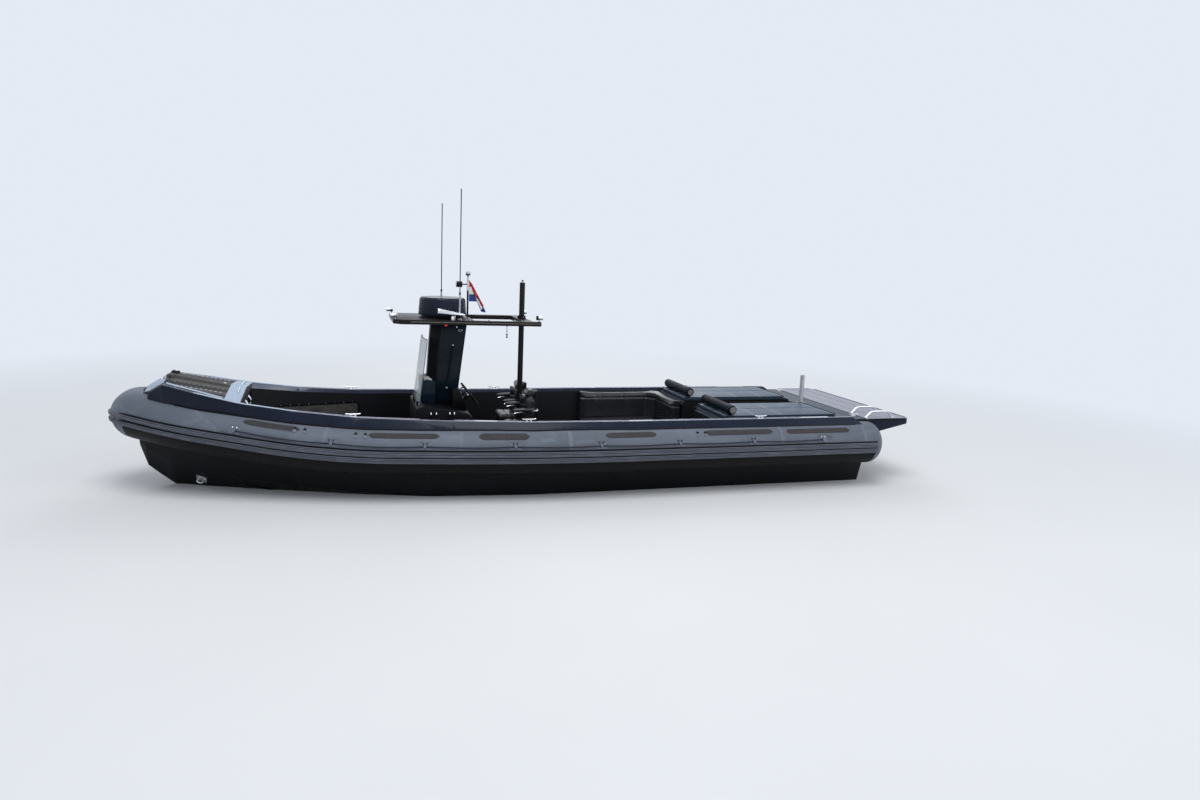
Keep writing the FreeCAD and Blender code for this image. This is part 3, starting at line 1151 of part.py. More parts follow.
for index in range(clip_count):
    x = size("ropeStart") - clip_span * index
    place, outward, along = on_collar(x, size("ropeAngle"), size("seatGap") + 0.5)
    across = along.cross(outward)
    half_l = size("clipLength") / 2
    half_w = size("clipWidth") / 2
    corners = [place + along * (half_l * a) + across * (half_w * b) for a, b in ((-1, -1), (1, -1), (1, 1), (-1, 1))]
    patch = prism(corners, outward * size("clipThick"))
    cheek_half = rope_r + 9
    bridge_corners = [place + along * (14 * a) + across * (cheek_half * b)
                      for a, b in ((-1, -1), (1, -1), (1, 1), (-1, 1))]
    bridge = prism(bridge_corners, outward * (clip_lift + rope_r + 9))
    clip = patch.fuse(bridge)
    here = index * per_span
    for neighbour in (max(here - 1, 0), min(here + 1, len(rope_points) - 1)):
        if neighbour != here:
            clip = clip.cut(rod(rope_points[here], rope_points[neighbour], rope_r + 4.5))
    clips.append(clip)

# Inflation valves, two to a chamber, near the gunwale
valves = []
for x in (2950, 2300, -1750):
    for shift in (0, -size("valvePitch")):
        place, outward, along = on_collar(x + shift, size("valveAngle"), size("seatGap"))
        valves.append(Part.makeCylinder(size("valveRadius"), size("valveProud"), place, outward))
feature("tube_fittings", Part.makeCompound(clips + valves + [mirrored(v) for v in clips + valves]))

# Bow eyes: a plate and a bent bar on each side of the forefoot
eye_x = 4060
eye_z = 105
aft_station, fore_station = STATIONS[7], STATIONS[8]
share = (eye_x - aft_station[0]) / (fore_station[0] - aft_station[0])
keel_there = aft_station[1] + (fore_station[1] - aft_station[1]) * share
chine_y_there = aft_station[2] + (fore_station[2] - aft_station[2]) * share
chine_z_there = aft_station[3] + (fore_station[3] - aft_station[3]) * share
up_side = Vector(0, chine_y_there, chine_z_there - keel_there).normalize()
way_up = (eye_z - keel_there) / (chine_z_there - keel_there)
eye_at = Vector(eye_x, chine_y_there * way_up, eye_z)
ahead_same = Vector(fore_station[0], fore_station[2] * way_up, fore_station[1] + (fore_station[3] - fore_station[1]) * way_up)
behind_same = Vector(aft_station[0], aft_station[2] * way_up, aft_station[1] + (aft_station[3] - aft_station[1]) * way_up)
ahead = (ahead_same - behind_same).normalize()
eye_out = up_side.cross(ahead).normalize()
if eye_out.y < 0:
    eye_out = eye_out * -1
eye_up = ahead.cross(eye_out).normalize()
half = 62
plate_corners = [eye_at + eye_out * 1.0 + ahead * (half * a) + eye_up * (half * 0.8 * b)
                 for a, b in ((-1, -1), (1, -1), (1, 1), (-1, 1))]
eye_plate = prism(plate_corners, eye_out * 6)
eye_foot = 36
eye_bar = tube_between([tuple(eye_at + eye_out * 5 - ahead * eye_foot), tuple(eye_at + eye_out * 62 - ahead * eye_foot),
                        tuple(eye_at + eye_out * 62 + ahead * eye_foot), tuple(eye_at + eye_out * 5 + ahead * eye_foot)], 8, 0.48)
feature("bow_eyes", both(eye_plate.fuse(eye_bar)))

# Framed pockets in the cockpit's side walls
pocket_x = (2260, 3290)
rim_points = []
for x in pocket_x:
    y, z, grow = collar_at(x)
    rim_points.append(Vector(x, y - (size("wallInset") + size("wallThick")) * grow - 14, 0))
low_z, high_z = 480, 800
rim_bar = 28
rim_along = (rim_points[1] - rim_points[0]).normalize()
rim_out = Vector(-rim_along.y, rim_along.x, 0)


def rounded_panel(grow, corner):
    """A rounded rectangle on the wall, larger than the pocket's mouth by grow."""
    start = rim_points[0] - rim_along * grow + Vector(0, 0, low_z - grow)
    end = rim_points[1] + rim_along * grow + Vector(0, 0, low_z - grow)
    rise_by = Vector(0, 0, high_z - low_z + 2 * grow)
    panel = prism([start, end, end + rise_by, start + rise_by], rim_out * 30)
    sides = [e for e in panel.Edges if abs(e.Length - 30) < 0.1]
    return panel.makeFillet(corner, sides)


rim = rounded_panel(rim_bar, 90).cut(rounded_panel(0, 62)).cut(hull_shape)
feature("wall_pocket_rims", both(rim))
feature("wall_pockets", both(rounded_panel(-size("pocketSlack"), 60).cut(hull_shape)))

# Spray rails: two on each side of the bottom, and one under each chine
rail_fractions = (0.40, 0.72)
spray_rails = []


def bottom_point(station, fraction, off):
    """A point on the bottom's section, that part of the way from keel to chine, moved square off it."""
    x, keel, chine_y, chine_z = station[:4]
    up_side = Vector(0, chine_y, chine_z - keel)
    outward = Vector(0, up_side.z, -up_side.y).normalize()
    return Vector(x, 0, keel) + up_side * fraction + outward * off


for fraction in rail_fractions:
    half = size("sprayShare")
    sections = []
    for station in STATIONS[:7]:
        taper = 0.35 if station is STATIONS[6] else 1.0
        sections.append([bottom_point(station, fraction - half, size("seatGap")),
                         bottom_point(station, fraction + half, size("seatGap")),
                         bottom_point(station, fraction + half, size("seatGap") + size("sprayProud") * taper)])
    spray_rails.append(loft(sections))
feature("spray_rails", both(Part.makeCompound(spray_rails)))


def kept_label(item):
    """Sub-parts have plain lower-case labels; helpers have capitals."""
    return item.Label == item.Label.lower() and hasattr(item, "Shape")


doc.recompute()
for item in doc.Objects:
    if "Invalid" in item.State or "Error" in item.State:
        raise RuntimeError("failed object: " + item.Label)
nodes = [item for item in doc.Objects if kept_label(item)]
for item in nodes:
    if item.Shape.isNull() or not item.Shape.isValid():
        raise RuntimeError("unsound shape: " + item.Label)
for item in nodes:
    item.Shape.exportStep("parts/%s.step" % item.Label)
    print(item.Label, len(item.Shape.Solids), round(item.Shape.Volume / 1e6, 2))
print(len(nodes), "nodes")
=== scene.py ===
import json
import math

import bpy
from bpy.props import FloatProperty, FloatVectorProperty, IntProperty, PointerProperty
from mathutils import Matrix, Quaternion, Vector
from mathutils.bvhtree import BVHTree

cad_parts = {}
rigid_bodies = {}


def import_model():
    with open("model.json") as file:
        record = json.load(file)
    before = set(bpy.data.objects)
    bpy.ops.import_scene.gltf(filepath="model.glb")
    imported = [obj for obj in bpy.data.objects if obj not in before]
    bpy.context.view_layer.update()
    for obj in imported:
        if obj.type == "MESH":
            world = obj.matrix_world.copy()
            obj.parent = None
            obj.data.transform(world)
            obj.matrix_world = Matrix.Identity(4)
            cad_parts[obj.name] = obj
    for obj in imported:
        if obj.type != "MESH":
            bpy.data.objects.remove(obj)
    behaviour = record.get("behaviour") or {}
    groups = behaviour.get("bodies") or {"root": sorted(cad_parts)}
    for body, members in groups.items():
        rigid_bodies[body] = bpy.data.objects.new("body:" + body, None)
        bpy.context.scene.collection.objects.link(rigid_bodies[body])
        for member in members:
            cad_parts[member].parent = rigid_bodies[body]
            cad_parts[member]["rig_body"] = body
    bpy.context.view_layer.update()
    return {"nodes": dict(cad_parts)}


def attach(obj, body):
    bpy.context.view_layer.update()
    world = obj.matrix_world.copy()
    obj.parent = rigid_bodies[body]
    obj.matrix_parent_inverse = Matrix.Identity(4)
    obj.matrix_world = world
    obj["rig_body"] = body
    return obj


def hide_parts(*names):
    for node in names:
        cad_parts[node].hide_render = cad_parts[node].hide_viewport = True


bl_info = {
    "name": "Inflatable boat dressing",
    "version": (1, 0, 0),
    "blender": (4, 5, 0),
    "location": "View3D > Sidebar > Boat",
    "description": "Dresses the framed inflatable boat with finishes, soft goods and fittings",
    "category": "Object",
}

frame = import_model()
NODE_BODY = {node: item["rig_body"] for node, item in frame["nodes"].items()}

UP = Vector((0, 0, 1))
PORT = Vector((0, 1, 0))
FORE = Vector((1, 0, 0))
SIDES = (("port", 1), ("starboard", -1))
EVEN = (1, 1, 1)

# The collar's centreline from the nose to the port aft end, in metres, with tangent arcs at its corners
COLLAR_CORNERS = (
    (4.724, 0.0, 0.878), (4.724, 0.098, 0.878), (4.128, 0.453, 0.787),
    (2.564, 0.912, 0.575), (0.226, 1.250, 0.571), (-4.330, 1.250, 0.571),
)
COLLAR_RADIUS = 0.280
BEND_SHARE = 0.47
BEND_STEPS = 24

# Specular level of metal, of very dark finishes and of the rest, and where very dark begins
METAL_SPECULAR, DARK_SPECULAR, PLAIN_SPECULAR = 0.5, 0.12, 0.30
VERY_DARK = 0.035

CAMERA_PLACE = Vector((2.47, 10.5, 2.92))
CAMERA_AIM = Vector((-0.914, 0.0, 0.957))
CAMERA_ROLL = math.radians(2.58)
CAMERA_LENS = 24.45
BACKDROP = (0.82, 0.87, 0.95)
BACKDROP_SEEN, BACKDROP_LIGHT = 0.95, 0.55
FLOOR_FADE = (5.5, 15.0)

WHEEL_CENTRE = Vector((0.880, 0.0, 1.062))
WHEEL_AXIS = Vector((-0.788011, 0.0, 0.615661))
ROOF_TOP = 2.054
ROOF_EDGE = 2.0275
MAST = (0.215, 0)
POLE = (0.905, -0.12)
RADOME_X = 1.240
PLATFORM_TOP = 0.8795

# The bolsters' middle and foot, and how much slimmer the cloth is than its solid
BOLSTER_X = -2.37
BOLSTER_FOOT = 0.943
BOLSTER_SLIM = 0.78


def size_of(text, metres, about):
    return FloatProperty(name=text, description=about, default=metres, unit="LENGTH", min=0.0)


def colour_of(text, colour, about):
    return FloatVectorProperty(name=text, description=about, default=colour, subtype="COLOR",
                               size=3, min=0.0, max=1.0)


class BoatColours(bpy.types.PropertyGroup):
    """Colours of the boat's finishes"""
    collar: colour_of("Collar", (0.115, 0.135, 0.172), "Coated fabric of the inflated collar")
    rail: colour_of("Rub rail", (0.074, 0.083, 0.104), "Rubber of the twin rub rails")
    wear: colour_of("Step pads", (0.040, 0.039, 0.041), "Anti-slip pads bonded on the collar")
    hull: colour_of("Hull", (0.0030, 0.0034, 0.0050), "Gelcoat of the hull")
    gunwale: colour_of("Gunwale", (0.0072, 0.0115, 0.0250), "Gelcoat of the gunwale")
    deck: colour_of("Deck trim", (0.42, 0.52, 0.66), "Pale non-skid of the foredeck")
    platform: colour_of("Platform", (0.36, 0.37, 0.44), "Non-skid of the swim platform")
    slats: colour_of("Slats", (0.062, 0.057, 0.057), "Dark slatted deck panels")
    console: colour_of("Console", (0.0040, 0.0110, 0.0190), "Gelcoat of console, pylon and roof")
    vinyl: colour_of("Sun pads", (0.030, 0.056, 0.098), "Gloss vinyl of the sun pads")
    lounge: colour_of("Lounge", (0.0150, 0.0165, 0.0200), "Satin vinyl of the lounge")


class BoatSizes(bpy.types.PropertyGroup):
    """Sizes of the pieces that dress the boat"""
    piping: size_of("Piping", 0.006, "Radius of the piping round the sun pads")
    patch_proud: size_of("Patch", 0.004, "Thickness of the pads bonded on the collar")
    seam_proud: size_of("Seam", 0.0015, "Thickness of the tapes over the collar's seams")
    flag_length: size_of("Flag length", 0.38, "Length of the flag's cloth along its fly")
    flag_height: size_of("Flag height", 0.28, "Height of the flag's cloth along its hoist")
    cloth_steps: IntProperty(name="Cloth steps", description="Frames that the cushions' cloth is run",
                             default=18, min=4, max=60)


def colours():
    return bpy.context.scene.boat_colours


def sizes():
    return bpy.context.scene.boat_sizes


# Finishes

def shader_node(tree, kind, output, inputs, **settings):
    """Adds a shader node, joins or sets its sockets, and gives one of its outputs"""
    node = tree.nodes.new("ShaderNode" + kind)
    for name, amount in settings.items():
        setattr(node, name, amount)
    for socket, amount in inputs.items():
        if isinstance(amount, bpy.types.NodeSocket):
            tree.links.new(amount, node.inputs[socket])
        else:
            node.inputs[socket].default_value = amount
    return node.outputs[output]


def tinted(colour, factor):
    return tuple(min(part * factor, 1.0) for part in colour)


class Finish:
    """A material with a Principled shader and short calls for its patterns"""

    def __init__(self, name, base, roughness, metallic=0.0, coat=0.0, coat_roughness=0.05, sheen=0.0):
        self.material = bpy.data.materials.new(name)
        self.material.use_nodes = True
        self.tree = self.material.node_tree
        self.shader = self.tree.nodes["Principled BSDF"]
        self.base, self.roughness, self.relief = base, roughness, None
        plain = DARK_SPECULAR if max(base) < VERY_DARK else PLAIN_SPECULAR
        self.set("Base Color", (*base, 1.0)).set("Roughness", roughness).set("Metallic", metallic)
        self.set("Coat Weight", coat).set("Coat Roughness", coat_roughness).set("Sheen Weight", sheen)
        self.set("Specular IOR Level", METAL_SPECULAR if metallic else plain)
        self.place = self.node("TexCoord", "Object", {})

    def set(self, socket, amount):
        self.shader.inputs[socket].default_value = amount
        return self

    def join(self, source, socket):
        self.tree.links.new(source, self.shader.inputs[socket])

    def node(self, kind, output, inputs, **settings):
        return shader_node(self.tree, kind, output, inputs, **settings)

    def mapped(self, stretch=EVEN, turn=(0, 0, 0)):
        return self.node("Mapping", "Vector", {"Scale": stretch, "Rotation": turn, "Vector": self.place})

    def noise(self, scale, detail, stretch=EVEN):
        return self.node("TexNoise", "Fac", {"Scale": scale, "Detail": detail, "Roughness": 0.55,
                                             "Vector": self.mapped(stretch)})

    def cells(self, scale):
        return self.node("TexVoronoi", "Distance", {"Scale": scale, "Vector": self.mapped()})

    def bands(self, scale, turn=(0, 0, 0), distortion=0.0, direction="X"):
        return self.node("TexWave", "Fac", {"Scale": scale, "Distortion": distortion,
                                            "Vector": self.mapped(EVEN, turn)}, bands_direction=direction)

    def ranged(self, value, low, high, to_low=0.0, to_high=1.0):
        return self.node("MapRange", "Result", {"Value": value, "From Min": low, "From Max": high,
                                                "To Min": to_low, "To Max": to_high})

    def product(self, first, second):
        return self.node("Math", "Value", {0: first, 1: second}, operation="MULTIPLY")

    def shade(self, value, colour, share=1.0):
        """Lays another colour over the base colour where value is high"""
        socket = self.shader.inputs["Base Color"]
        under = socket.links[0].from_socket if socket.is_linked else (*self.base, 1.0)
        part = self.ranged(value, 0.0, 1.0, 0.0, share)
        self.join(self.node("Mix", "Result", {"A": under, "B": (*colour, 1.0), "Factor": part},
                            data_type="RGBA"), "Base Color")
        return self

    def patched(self, scale, detail, low, high, colour, share, stretch=EVEN):
        """Soft patches of another colour"""
        return self.shade(self.ranged(self.noise(scale, detail, stretch), low, high), colour, share)

    def stained(self, scale, detail, low, high, factor, share, stretch=EVEN):
        """Soft patches of a darker or lighter tone of the base colour"""
        return self.patched(scale, detail, low, high, tinted(self.base, factor), share, stretch)

    def worn(self, scale, detail, spread, stretch=EVEN):
        """Roughness that wanders by spread to each side"""
        low, high = max(self.roughness - spread, 0.02), min(self.roughness + spread, 1.0)
        self.join(self.ranged(self.noise(scale, detail, stretch), 0.25, 0.75, low, high), "Roughness")
        return self

    def bump(self, value, depth, strength=1.0):
        """Adds relief of that depth in metres"""
        inputs = {"Strength": strength, "Distance": depth, "Height": value}
        if self.relief:
            inputs["Normal"] = self.relief
        self.relief = self.node("Bump", "Normal", inputs)
        self.join(self.relief, "Normal")
        return self

    def rippled(self, scale, detail, depth, strength=1.0, stretch=EVEN):
        return self.bump(self.noise(scale, detail, stretch), depth, strength)

    def pebbled(self, scale, depth, strength=1.0):
        return self.bump(self.cells(scale), depth, strength)


def collar_fabric():
    """Coated fabric: fine cloth grain, faint stains, a salt haze and gathers at the aft ends"""
    finish = Finish("collar_fabric", colours().collar, 0.52, sheen=0.12)
    finish.stained(1.1, 5, 0.35, 0.70, 0.72, 0.75).stained(9, 6, 0.52, 0.75, 1.45, 0.5, (0.35, 1, 1))
    finish.worn(14, 4, 0.10).pebbled(900, 0.0004).rippled(3.0, 2, 0.004, 0.5)
    aft = finish.ranged(finish.node("SeparateXYZ", "X", {"Vector": finish.place}), -4.22, -4.36)
    return finish.bump(finish.product(finish.bands(7.5, distortion=1.4), aft), 0.010, 0.8)


def seam_tape():
    """Tape glued over the collar's seams, a shade lighter and smoother than the cloth"""
    finish = Finish("seam_tape", tinted(colours().collar, 1.16), 0.46)
    return finish.stained(18, 5, 0.4, 0.75, 0.80, 0.7).worn(24, 4, 0.10).pebbled(700, 0.0004)


def rail_rubber(name="rail_rubber", painted_light_factor=1.0):
    # A factor above one lightens the rubber as painted highlight; a factor far below one darkens it as
    # painted shade
    finish = Finish(name, tinted(colours().rail, painted_light_factor), 0.48)
    return finish.stained(26, 6, 0.5, 0.8, 2.4, 0.6, (0.15, 1, 1)).worn(40, 4, 0.12).rippled(500, 2, 0.0004)


def step_pad():
    """Anti-slip rubber bonded on the collar"""
    return Finish("step_pad", colours().wear, 0.72).stained(20, 5, 0.4, 0.7, 0.6, 0.8).pebbled(260, 0.0012)


def hull_gelcoat():
    finish = Finish("hull_gelcoat", colours().hull, 0.34, coat=0.02, coat_roughness=0.12)
    finish.stained(5, 6, 0.5, 0.85, 2.4, 0.5, (0.4, 1, 2)).worn(7, 5, 0.08, (0.5, 1, 2))
    return finish.rippled(2.2, 2, 0.003, 0.35)


def gloss_gelcoat(name, base):
    finish = Finish(name, base, 0.26, coat=0.07, coat_roughness=0.08)
    return finish.stained(4, 4, 0.45, 0.8, 1.8, 0.5).worn(11, 4, 0.05).rippled(3.5, 2, 0.0015, 0.3)


def non_skid(name, base, dots=190):
    """Moulded non-skid: a pebbled surface with dirt between the pebbles"""
    finish = Finish(name, base, 0.5)
    pebbles = finish.cells(dots)
    finish.shade(finish.ranged(pebbles, 0.30, 0.62), tinted(base, 0.62), 0.7)
    return finish.stained(3.0, 6, 0.42, 0.75, 0.75, 0.6).worn(22, 4, 0.10).bump(pebbles, 0.0010)


def slat_panel():
    """Dark slats along the boat with near-black gaps and pale edges"""
    base = colours().slats
    finish = Finish("slat_panel", base, 0.66)
    slats = finish.bands(1.45, direction="Y")
    finish.shade(finish.ranged(slats, 0.42, 0.62), tinted(base, 0.13), 0.97)
    finish.shade(finish.ranged(slats, 0.10, 0.02), tinted(base, 1.9), 0.7)
    finish.stained(60, 5, 0.45, 0.75, 1.5, 0.3, (0.06, 1, 1))
    return finish.rippled(90, 4, 0.0010, stretch=(0.08, 1, 1))


def vinyl(name, base, roughness, creases=0.002, gloss=0.25):
    """Coated upholstery cloth: pebbled grain, creases and a soft gloss"""
    finish = Finish(name, base, roughness, coat=0.03, coat_roughness=0.2).set("Specular IOR Level", gloss)
    finish.stained(2.4, 4, 0.42, 0.8, 1.5, 0.5).worn(5, 4, 0.07)
    return finish.pebbled(420, 0.0002, 0.5).rippled(9, 3, creases, 0.5, (1, 1, 0.4))


def polished_steel():
    finish = Finish("polished_steel", (0.72, 0.73, 0.75), 0.12, metallic=1.0)
    return finish.worn(30, 4, 0.06).rippled(60, 2, 0.0003, 0.4)


def brushed_steel():
    finish = Finish("brushed_steel", (0.34, 0.345, 0.36), 0.28, metallic=1.0)
    finish.patched(18, 5, 0.4, 0.8, (0.20, 0.20, 0.21), 0.5).worn(140, 3, 0.12, (1, 1, 0.05))
    return finish.rippled(260, 2, 0.0003, stretch=(1, 1, 0.04))


def painted(name, base, roughness=0.35):
    finish = Finish(name, base, roughness, coat=0.01, coat_roughness=0.2)
    return finish.stained(16, 5, 0.5, 0.8, 2.2, 0.5).worn(24, 4, 0.08).rippled(320, 2, 0.0003, 0.6)


def braided_rope():
    finish = Finish("braided_rope", (0.020, 0.024, 0.034), 0.7, sheen=0.1)
    strands = finish.bands(95, (0, 0, math.radians(38)), direction="DIAGONAL")
    return finish.shade(strands, tinted(finish.base, 2.2), 0.8).bump(strands, 0.0014)


def screen_glass():
    finish = Finish("screen_glass", (0.62, 0.72, 0.76), 0.05).set("Alpha", 0.44).set("IOR", 1.49)
    return finish.patched(3, 3, 0.4, 0.8, (0.75, 0.82, 0.86), 0.6).worn(8, 3, 0.03)


def flag_cloth():
    """Woven cloth in three bands, read from the height up the flag's cut"""
    finish = Finish("flag_cloth", (0.55, 0.03, 0.04), 0.75, sheen=0.2)
    height = finish.node("Attribute", "Fac", {}, attribute_name="band")
    finish.shade(finish.ranged(height, 0.672, 0.662), (0.78, 0.79, 0.80))
    finish.shade(finish.ranged(height, 0.338, 0.328), (0.02, 0.06, 0.24))
    return finish.worn(60, 3, 0.08).rippled(700, 2, 0.0003, stretch=(1, 1, 3))


def pocket_cloth():
    """Loose coated cloth of the wall pockets, creased and scuffed"""
    finish = Finish("pocket_cloth", (0.058, 0.056, 0.055), 0.62, sheen=0.15)
    finish.stained(7, 6, 0.42, 0.72, 0.45, 0.8).stained(18, 5, 0.55, 0.8, 1.7, 0.5)
    return finish.rippled(11, 5, 0.006, 0.7).rippled(600, 2, 0.0003)


def dial_face():
    finish = Finish("dial_face", (0.010, 0.014, 0.018), 0.10, coat=0.8, coat_roughness=0.03)
    return finish.patched(40, 3, 0.4, 0.8, (0.020, 0.030, 0.040), 0.6).worn(30, 3, 0.04)


def grip_leather():
    finish = Finish("grip_leather", (0.018, 0.018, 0.019), 0.55, sheen=0.05)
    return finish.stained(30, 5, 0.45, 0.8, 1.9, 0.6).worn(40, 4, 0.1).pebbled(620, 0.0004)


def lamp_lens(name, colour, glow):
    finish = Finish(name, colour, 0.18, coat=0.5)
    finish.shade(finish.cells(160), tinted(colour, 1.3), 0.4).pebbled(160, 0.0008)
    return finish.set("Emission Color", (*colour, 1.0)).set("Emission Strength", glow)


FINISHES = {}


def finish_named(name):
    """Each finish is made once, when it is first asked for"""
    own = colours()
    makers = {
        "collar": (collar_fabric,), "rail": (rail_rubber,), "step_pad": (step_pad,), "hull": (hull_gelcoat,),
        "tape": (seam_tape,), "flag": (flag_cloth,), "pocket": (pocket_cloth,), "dial": (dial_face,),
        "grip": (grip_leather,), "slats": (slat_panel,), "chrome": (polished_steel,),
        "steel": (brushed_steel,), "rope": (braided_rope,), "screen": (screen_glass,),
        # Rail rubber made lighter as painted highlight on the rail beads, also used for the screen edging,
        # and made near black as painted shade on the collar's underside
        "pale_rubber_and_highlight": (rail_rubber, "rail_bead", 1.45), "skirt": (rail_rubber, "skirt_rubber", 0.045),
        "gunwale": (gloss_gelcoat, "gunwale_gelcoat", own.gunwale),
        # A lighter copy of the gunwale's gelcoat for its level top: painted light
        "gunwale_top": (gloss_gelcoat, "gunwale_top", tinted(own.gunwale, 2.6)),
        "console": (gloss_gelcoat, "console_gelcoat", own.console),
        "tread": (gloss_gelcoat, "step_tread", (0.014, 0.018, 0.030)),
        "radome": (gloss_gelcoat, "radome_shell", (0.012, 0.016, 0.030)),
        "aft_deck": (non_skid, "aft_deck", (0.060, 0.080, 0.110), 240),
        "deck": (non_skid, "deck_pale", own.deck, 260),
        "platform": (non_skid, "platform_deck", own.platform),
        "sole": (non_skid, "cockpit_sole", (0.014, 0.0145, 0.017)),
        # Pale lavender paint for the lines along the gunwale's edges: painted highlight
        "bead": (painted, "pale_bead", (0.36, 0.37, 0.46), 0.30),
        "white": (painted, "white_paint", (0.66, 0.67, 0.70), 0.34),
        # Pale paint for the bar round the roof's edge: painted highlight
        "roof_painted_highlight": (painted, "roof_bead", (0.055, 0.052, 0.050), 0.30),
        "webbing": (painted, "webbing", (0.10, 0.11, 0.13), 0.7),
        "roof": (painted, "roof_skin", (0.0095, 0.0092, 0.0095), 0.40),
        "inner": (painted, "cockpit_lining", (0.0040, 0.0044, 0.0060), 0.45),
        "drive": (painted, "drive_paint", (0.012, 0.012, 0.014), 0.30),
        "black": (painted, "black_paint", (0.0040, 0.0040, 0.0048)),
        "engine": (painted, "engine_paint", (0.10, 0.10, 0.11), 0.5),
        "pale_vinyl": (vinyl, "pale_vinyl", (0.17, 0.155, 0.14), 0.50),
        "vinyl": (vinyl, "pad_vinyl", own.vinyl, 0.36, 0.0008),
        "bolster": (vinyl, "bolster_vinyl", tinted(own.vinyl, 0.15), 0.52, 0.001, 0.06),
        "lounge": (vinyl, "lounge_vinyl", own.lounge, 0.30, 0.005, 0.50),
        "red_lens": (lamp_lens, "red_lens", (0.75, 0.03, 0.02), 1.2),
        "green_lens": (lamp_lens, "green_lens", (0.02, 0.50, 0.14), 0.6),
        "clear_lens": (lamp_lens, "clear_lens", (0.80, 0.80, 0.78), 0.0),
    }
    if name not in FINISHES:
        maker, *given = makers[name]
        FINISHES[name] = maker(*given).material
    return FINISHES[name]


# Modelling helpers

def nothing_selected():
    if bpy.context.object and bpy.context.object.mode != "OBJECT":
        bpy.ops.object.mode_set(mode="OBJECT")
    bpy.ops.object.select_all(action="DESELECT")


def only(piece):
    nothing_selected()
    piece.select_set(True)
    bpy.context.view_layer.objects.active = piece


def in_edit(piece, *steps):
    """Runs edit-mode operators on the whole of a piece"""
    only(piece)
    bpy.ops.object.mode_set(mode="EDIT")
    bpy.ops.mesh.select_all(action="SELECT")
    for step in steps:
        step()
    bpy.ops.object.mode_set(mode="OBJECT")


def with_modifier(piece, kind, **values):
    """Adds a modifier, sets it and applies it"""
    only(piece)
    modifier = piece.modifiers.new(kind.title(), kind)
    for name, amount in values.items():
        setattr(modifier, name, amount)
    bpy.ops.object.modifier_apply(modifier=modifier.name)
    return piece


def bevelled(piece, width, segments=2, corner=30):
    return with_modifier(piece, "BEVEL", width=width, segments=segments, limit_method="ANGLE",
                         angle_limit=math.radians(corner), use_clamp_overlap=True)


def smooth(piece, corner=35):
    only(piece)
    bpy.ops.object.shade_smooth_by_angle(angle=math.radians(corner))
    return piece


def in_mesh(piece, axis=None, place=None):
    """Turns a piece from upright to an axis, moves it, and puts its place in its mesh"""
    only(piece)
    if axis:
        piece.rotation_mode = "QUATERNION"
        piece.rotation_quaternion = UP.rotation_difference(Vector(axis))
    if place:
        piece.location = place
    bpy.ops.object.transform_apply(location=True, rotation=True, scale=True)
    return piece


def joined(pieces):
    """Several pieces made one"""
    nothing_selected()
    for piece in pieces:
        piece.select_set(True)
    bpy.context.view_layer.objects.active = pieces[0]
    if len(pieces) > 1:
        bpy.ops.object.join()
    return bpy.context.object


def settled(piece, name, finish, body="boat", replaces=()):
    """Names a finished piece, or several made one, puts its place in its mesh, and makes it ride"""
    if isinstance(piece, list):
        piece = joined(piece)
    in_mesh(piece)
    piece.name = name
    piece.data.name = name
    piece.data.materials.clear()
    piece.data.materials.append(finish_named(finish))
    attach(piece, body)
    if replaces:
        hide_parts(*replaces)
    return piece


def merged_copy(node):
    """A copy of a CAD node's mesh with its triangles joined, flat ones made one face"""
    mesh = frame["nodes"][node].data.copy()
    mesh.materials.clear()
    piece = bpy.data.objects.new(node + "_skin", mesh)
    bpy.context.collection.objects.link(piece)
    only(piece)
    if mesh.has_custom_normals:
        bpy.ops.mesh.customdata_custom_splitnormals_clear()
    in_edit(piece, lambda: bpy.ops.mesh.remove_doubles(threshold=2e-5),
            lambda: bpy.ops.mesh.dissolve_limited(angle_limit=math.radians(0.6)))
    return piece


def dressed(node, finish, edge=0.003, corner=32):
    """A smooth copy of a CAD node, with its edges eased, that stands for the node"""
    piece = merged_copy(node)
    if edge:
        bevelled(piece, edge, 2, corner)
    smooth(piece, corner)
    return settled(piece, node + "_skin", finish, NODE_BODY[node], (node,))


def painted_by_place(piece, choices):
    """Gives faces another finish where a test of their centre and normal says so"""
    for finish, test in choices.items():
        piece.data.materials.append(finish_named(finish))
        index = len(piece.data.materials) - 1
        for face in piece.data.polygons:
            if test(face.center, face.normal):
                face.material_index = index


def boxed(low, high, edge=0.003, segments=2):
    """A box between two corners, with eased edges"""
    nothing_selected()
    low, high = Vector(low), Vector(high)
    bpy.ops.mesh.primitive_cube_add(size=1, location=(low + high) / 2)
    piece = bpy.context.object
    piece.scale = high - low
    in_mesh(piece)
    return bevelled(piece, edge, segments) if edge else piece


def block(centre, half, edge=0.003, segments=2):
    """A box given by its centre and half its sizes"""
    centre, half = Vector(centre), Vector(half)
    return boxed(centre - half, centre + half, edge, segments)


def rod(start, end, radius, sides=20, end_radius=None, edge=0.0):
    """A round bar or a cone between two points"""
    nothing_selected()
    start, end = Vector(start), Vector(end)
    bpy.ops.mesh.primitive_cone_add(vertices=sides, radius1=radius,
                                    radius2=radius if end_radius is None else end_radius,
                                    depth=(end - start).length, location=(start + end) / 2)
    piece = in_mesh(bpy.context.object, end - start)
    return bevelled(piece, edge, 2, 40) if edge else piece


def posts(places, low, high, radius, sides, end_radius=None, edge=0.0):
    """Upright round bars of one size"""
    return [rod((x, y, low), (x, y, high), radius, sides, end_radius, edge) for x, y in places]


def disc(centre, axis, radius, thick, sides=28, edge=0.0015):
    centre = Vector(centre)
    return rod(centre, centre + Vector(axis).normalized() * thick, radius, sides, edge=edge)


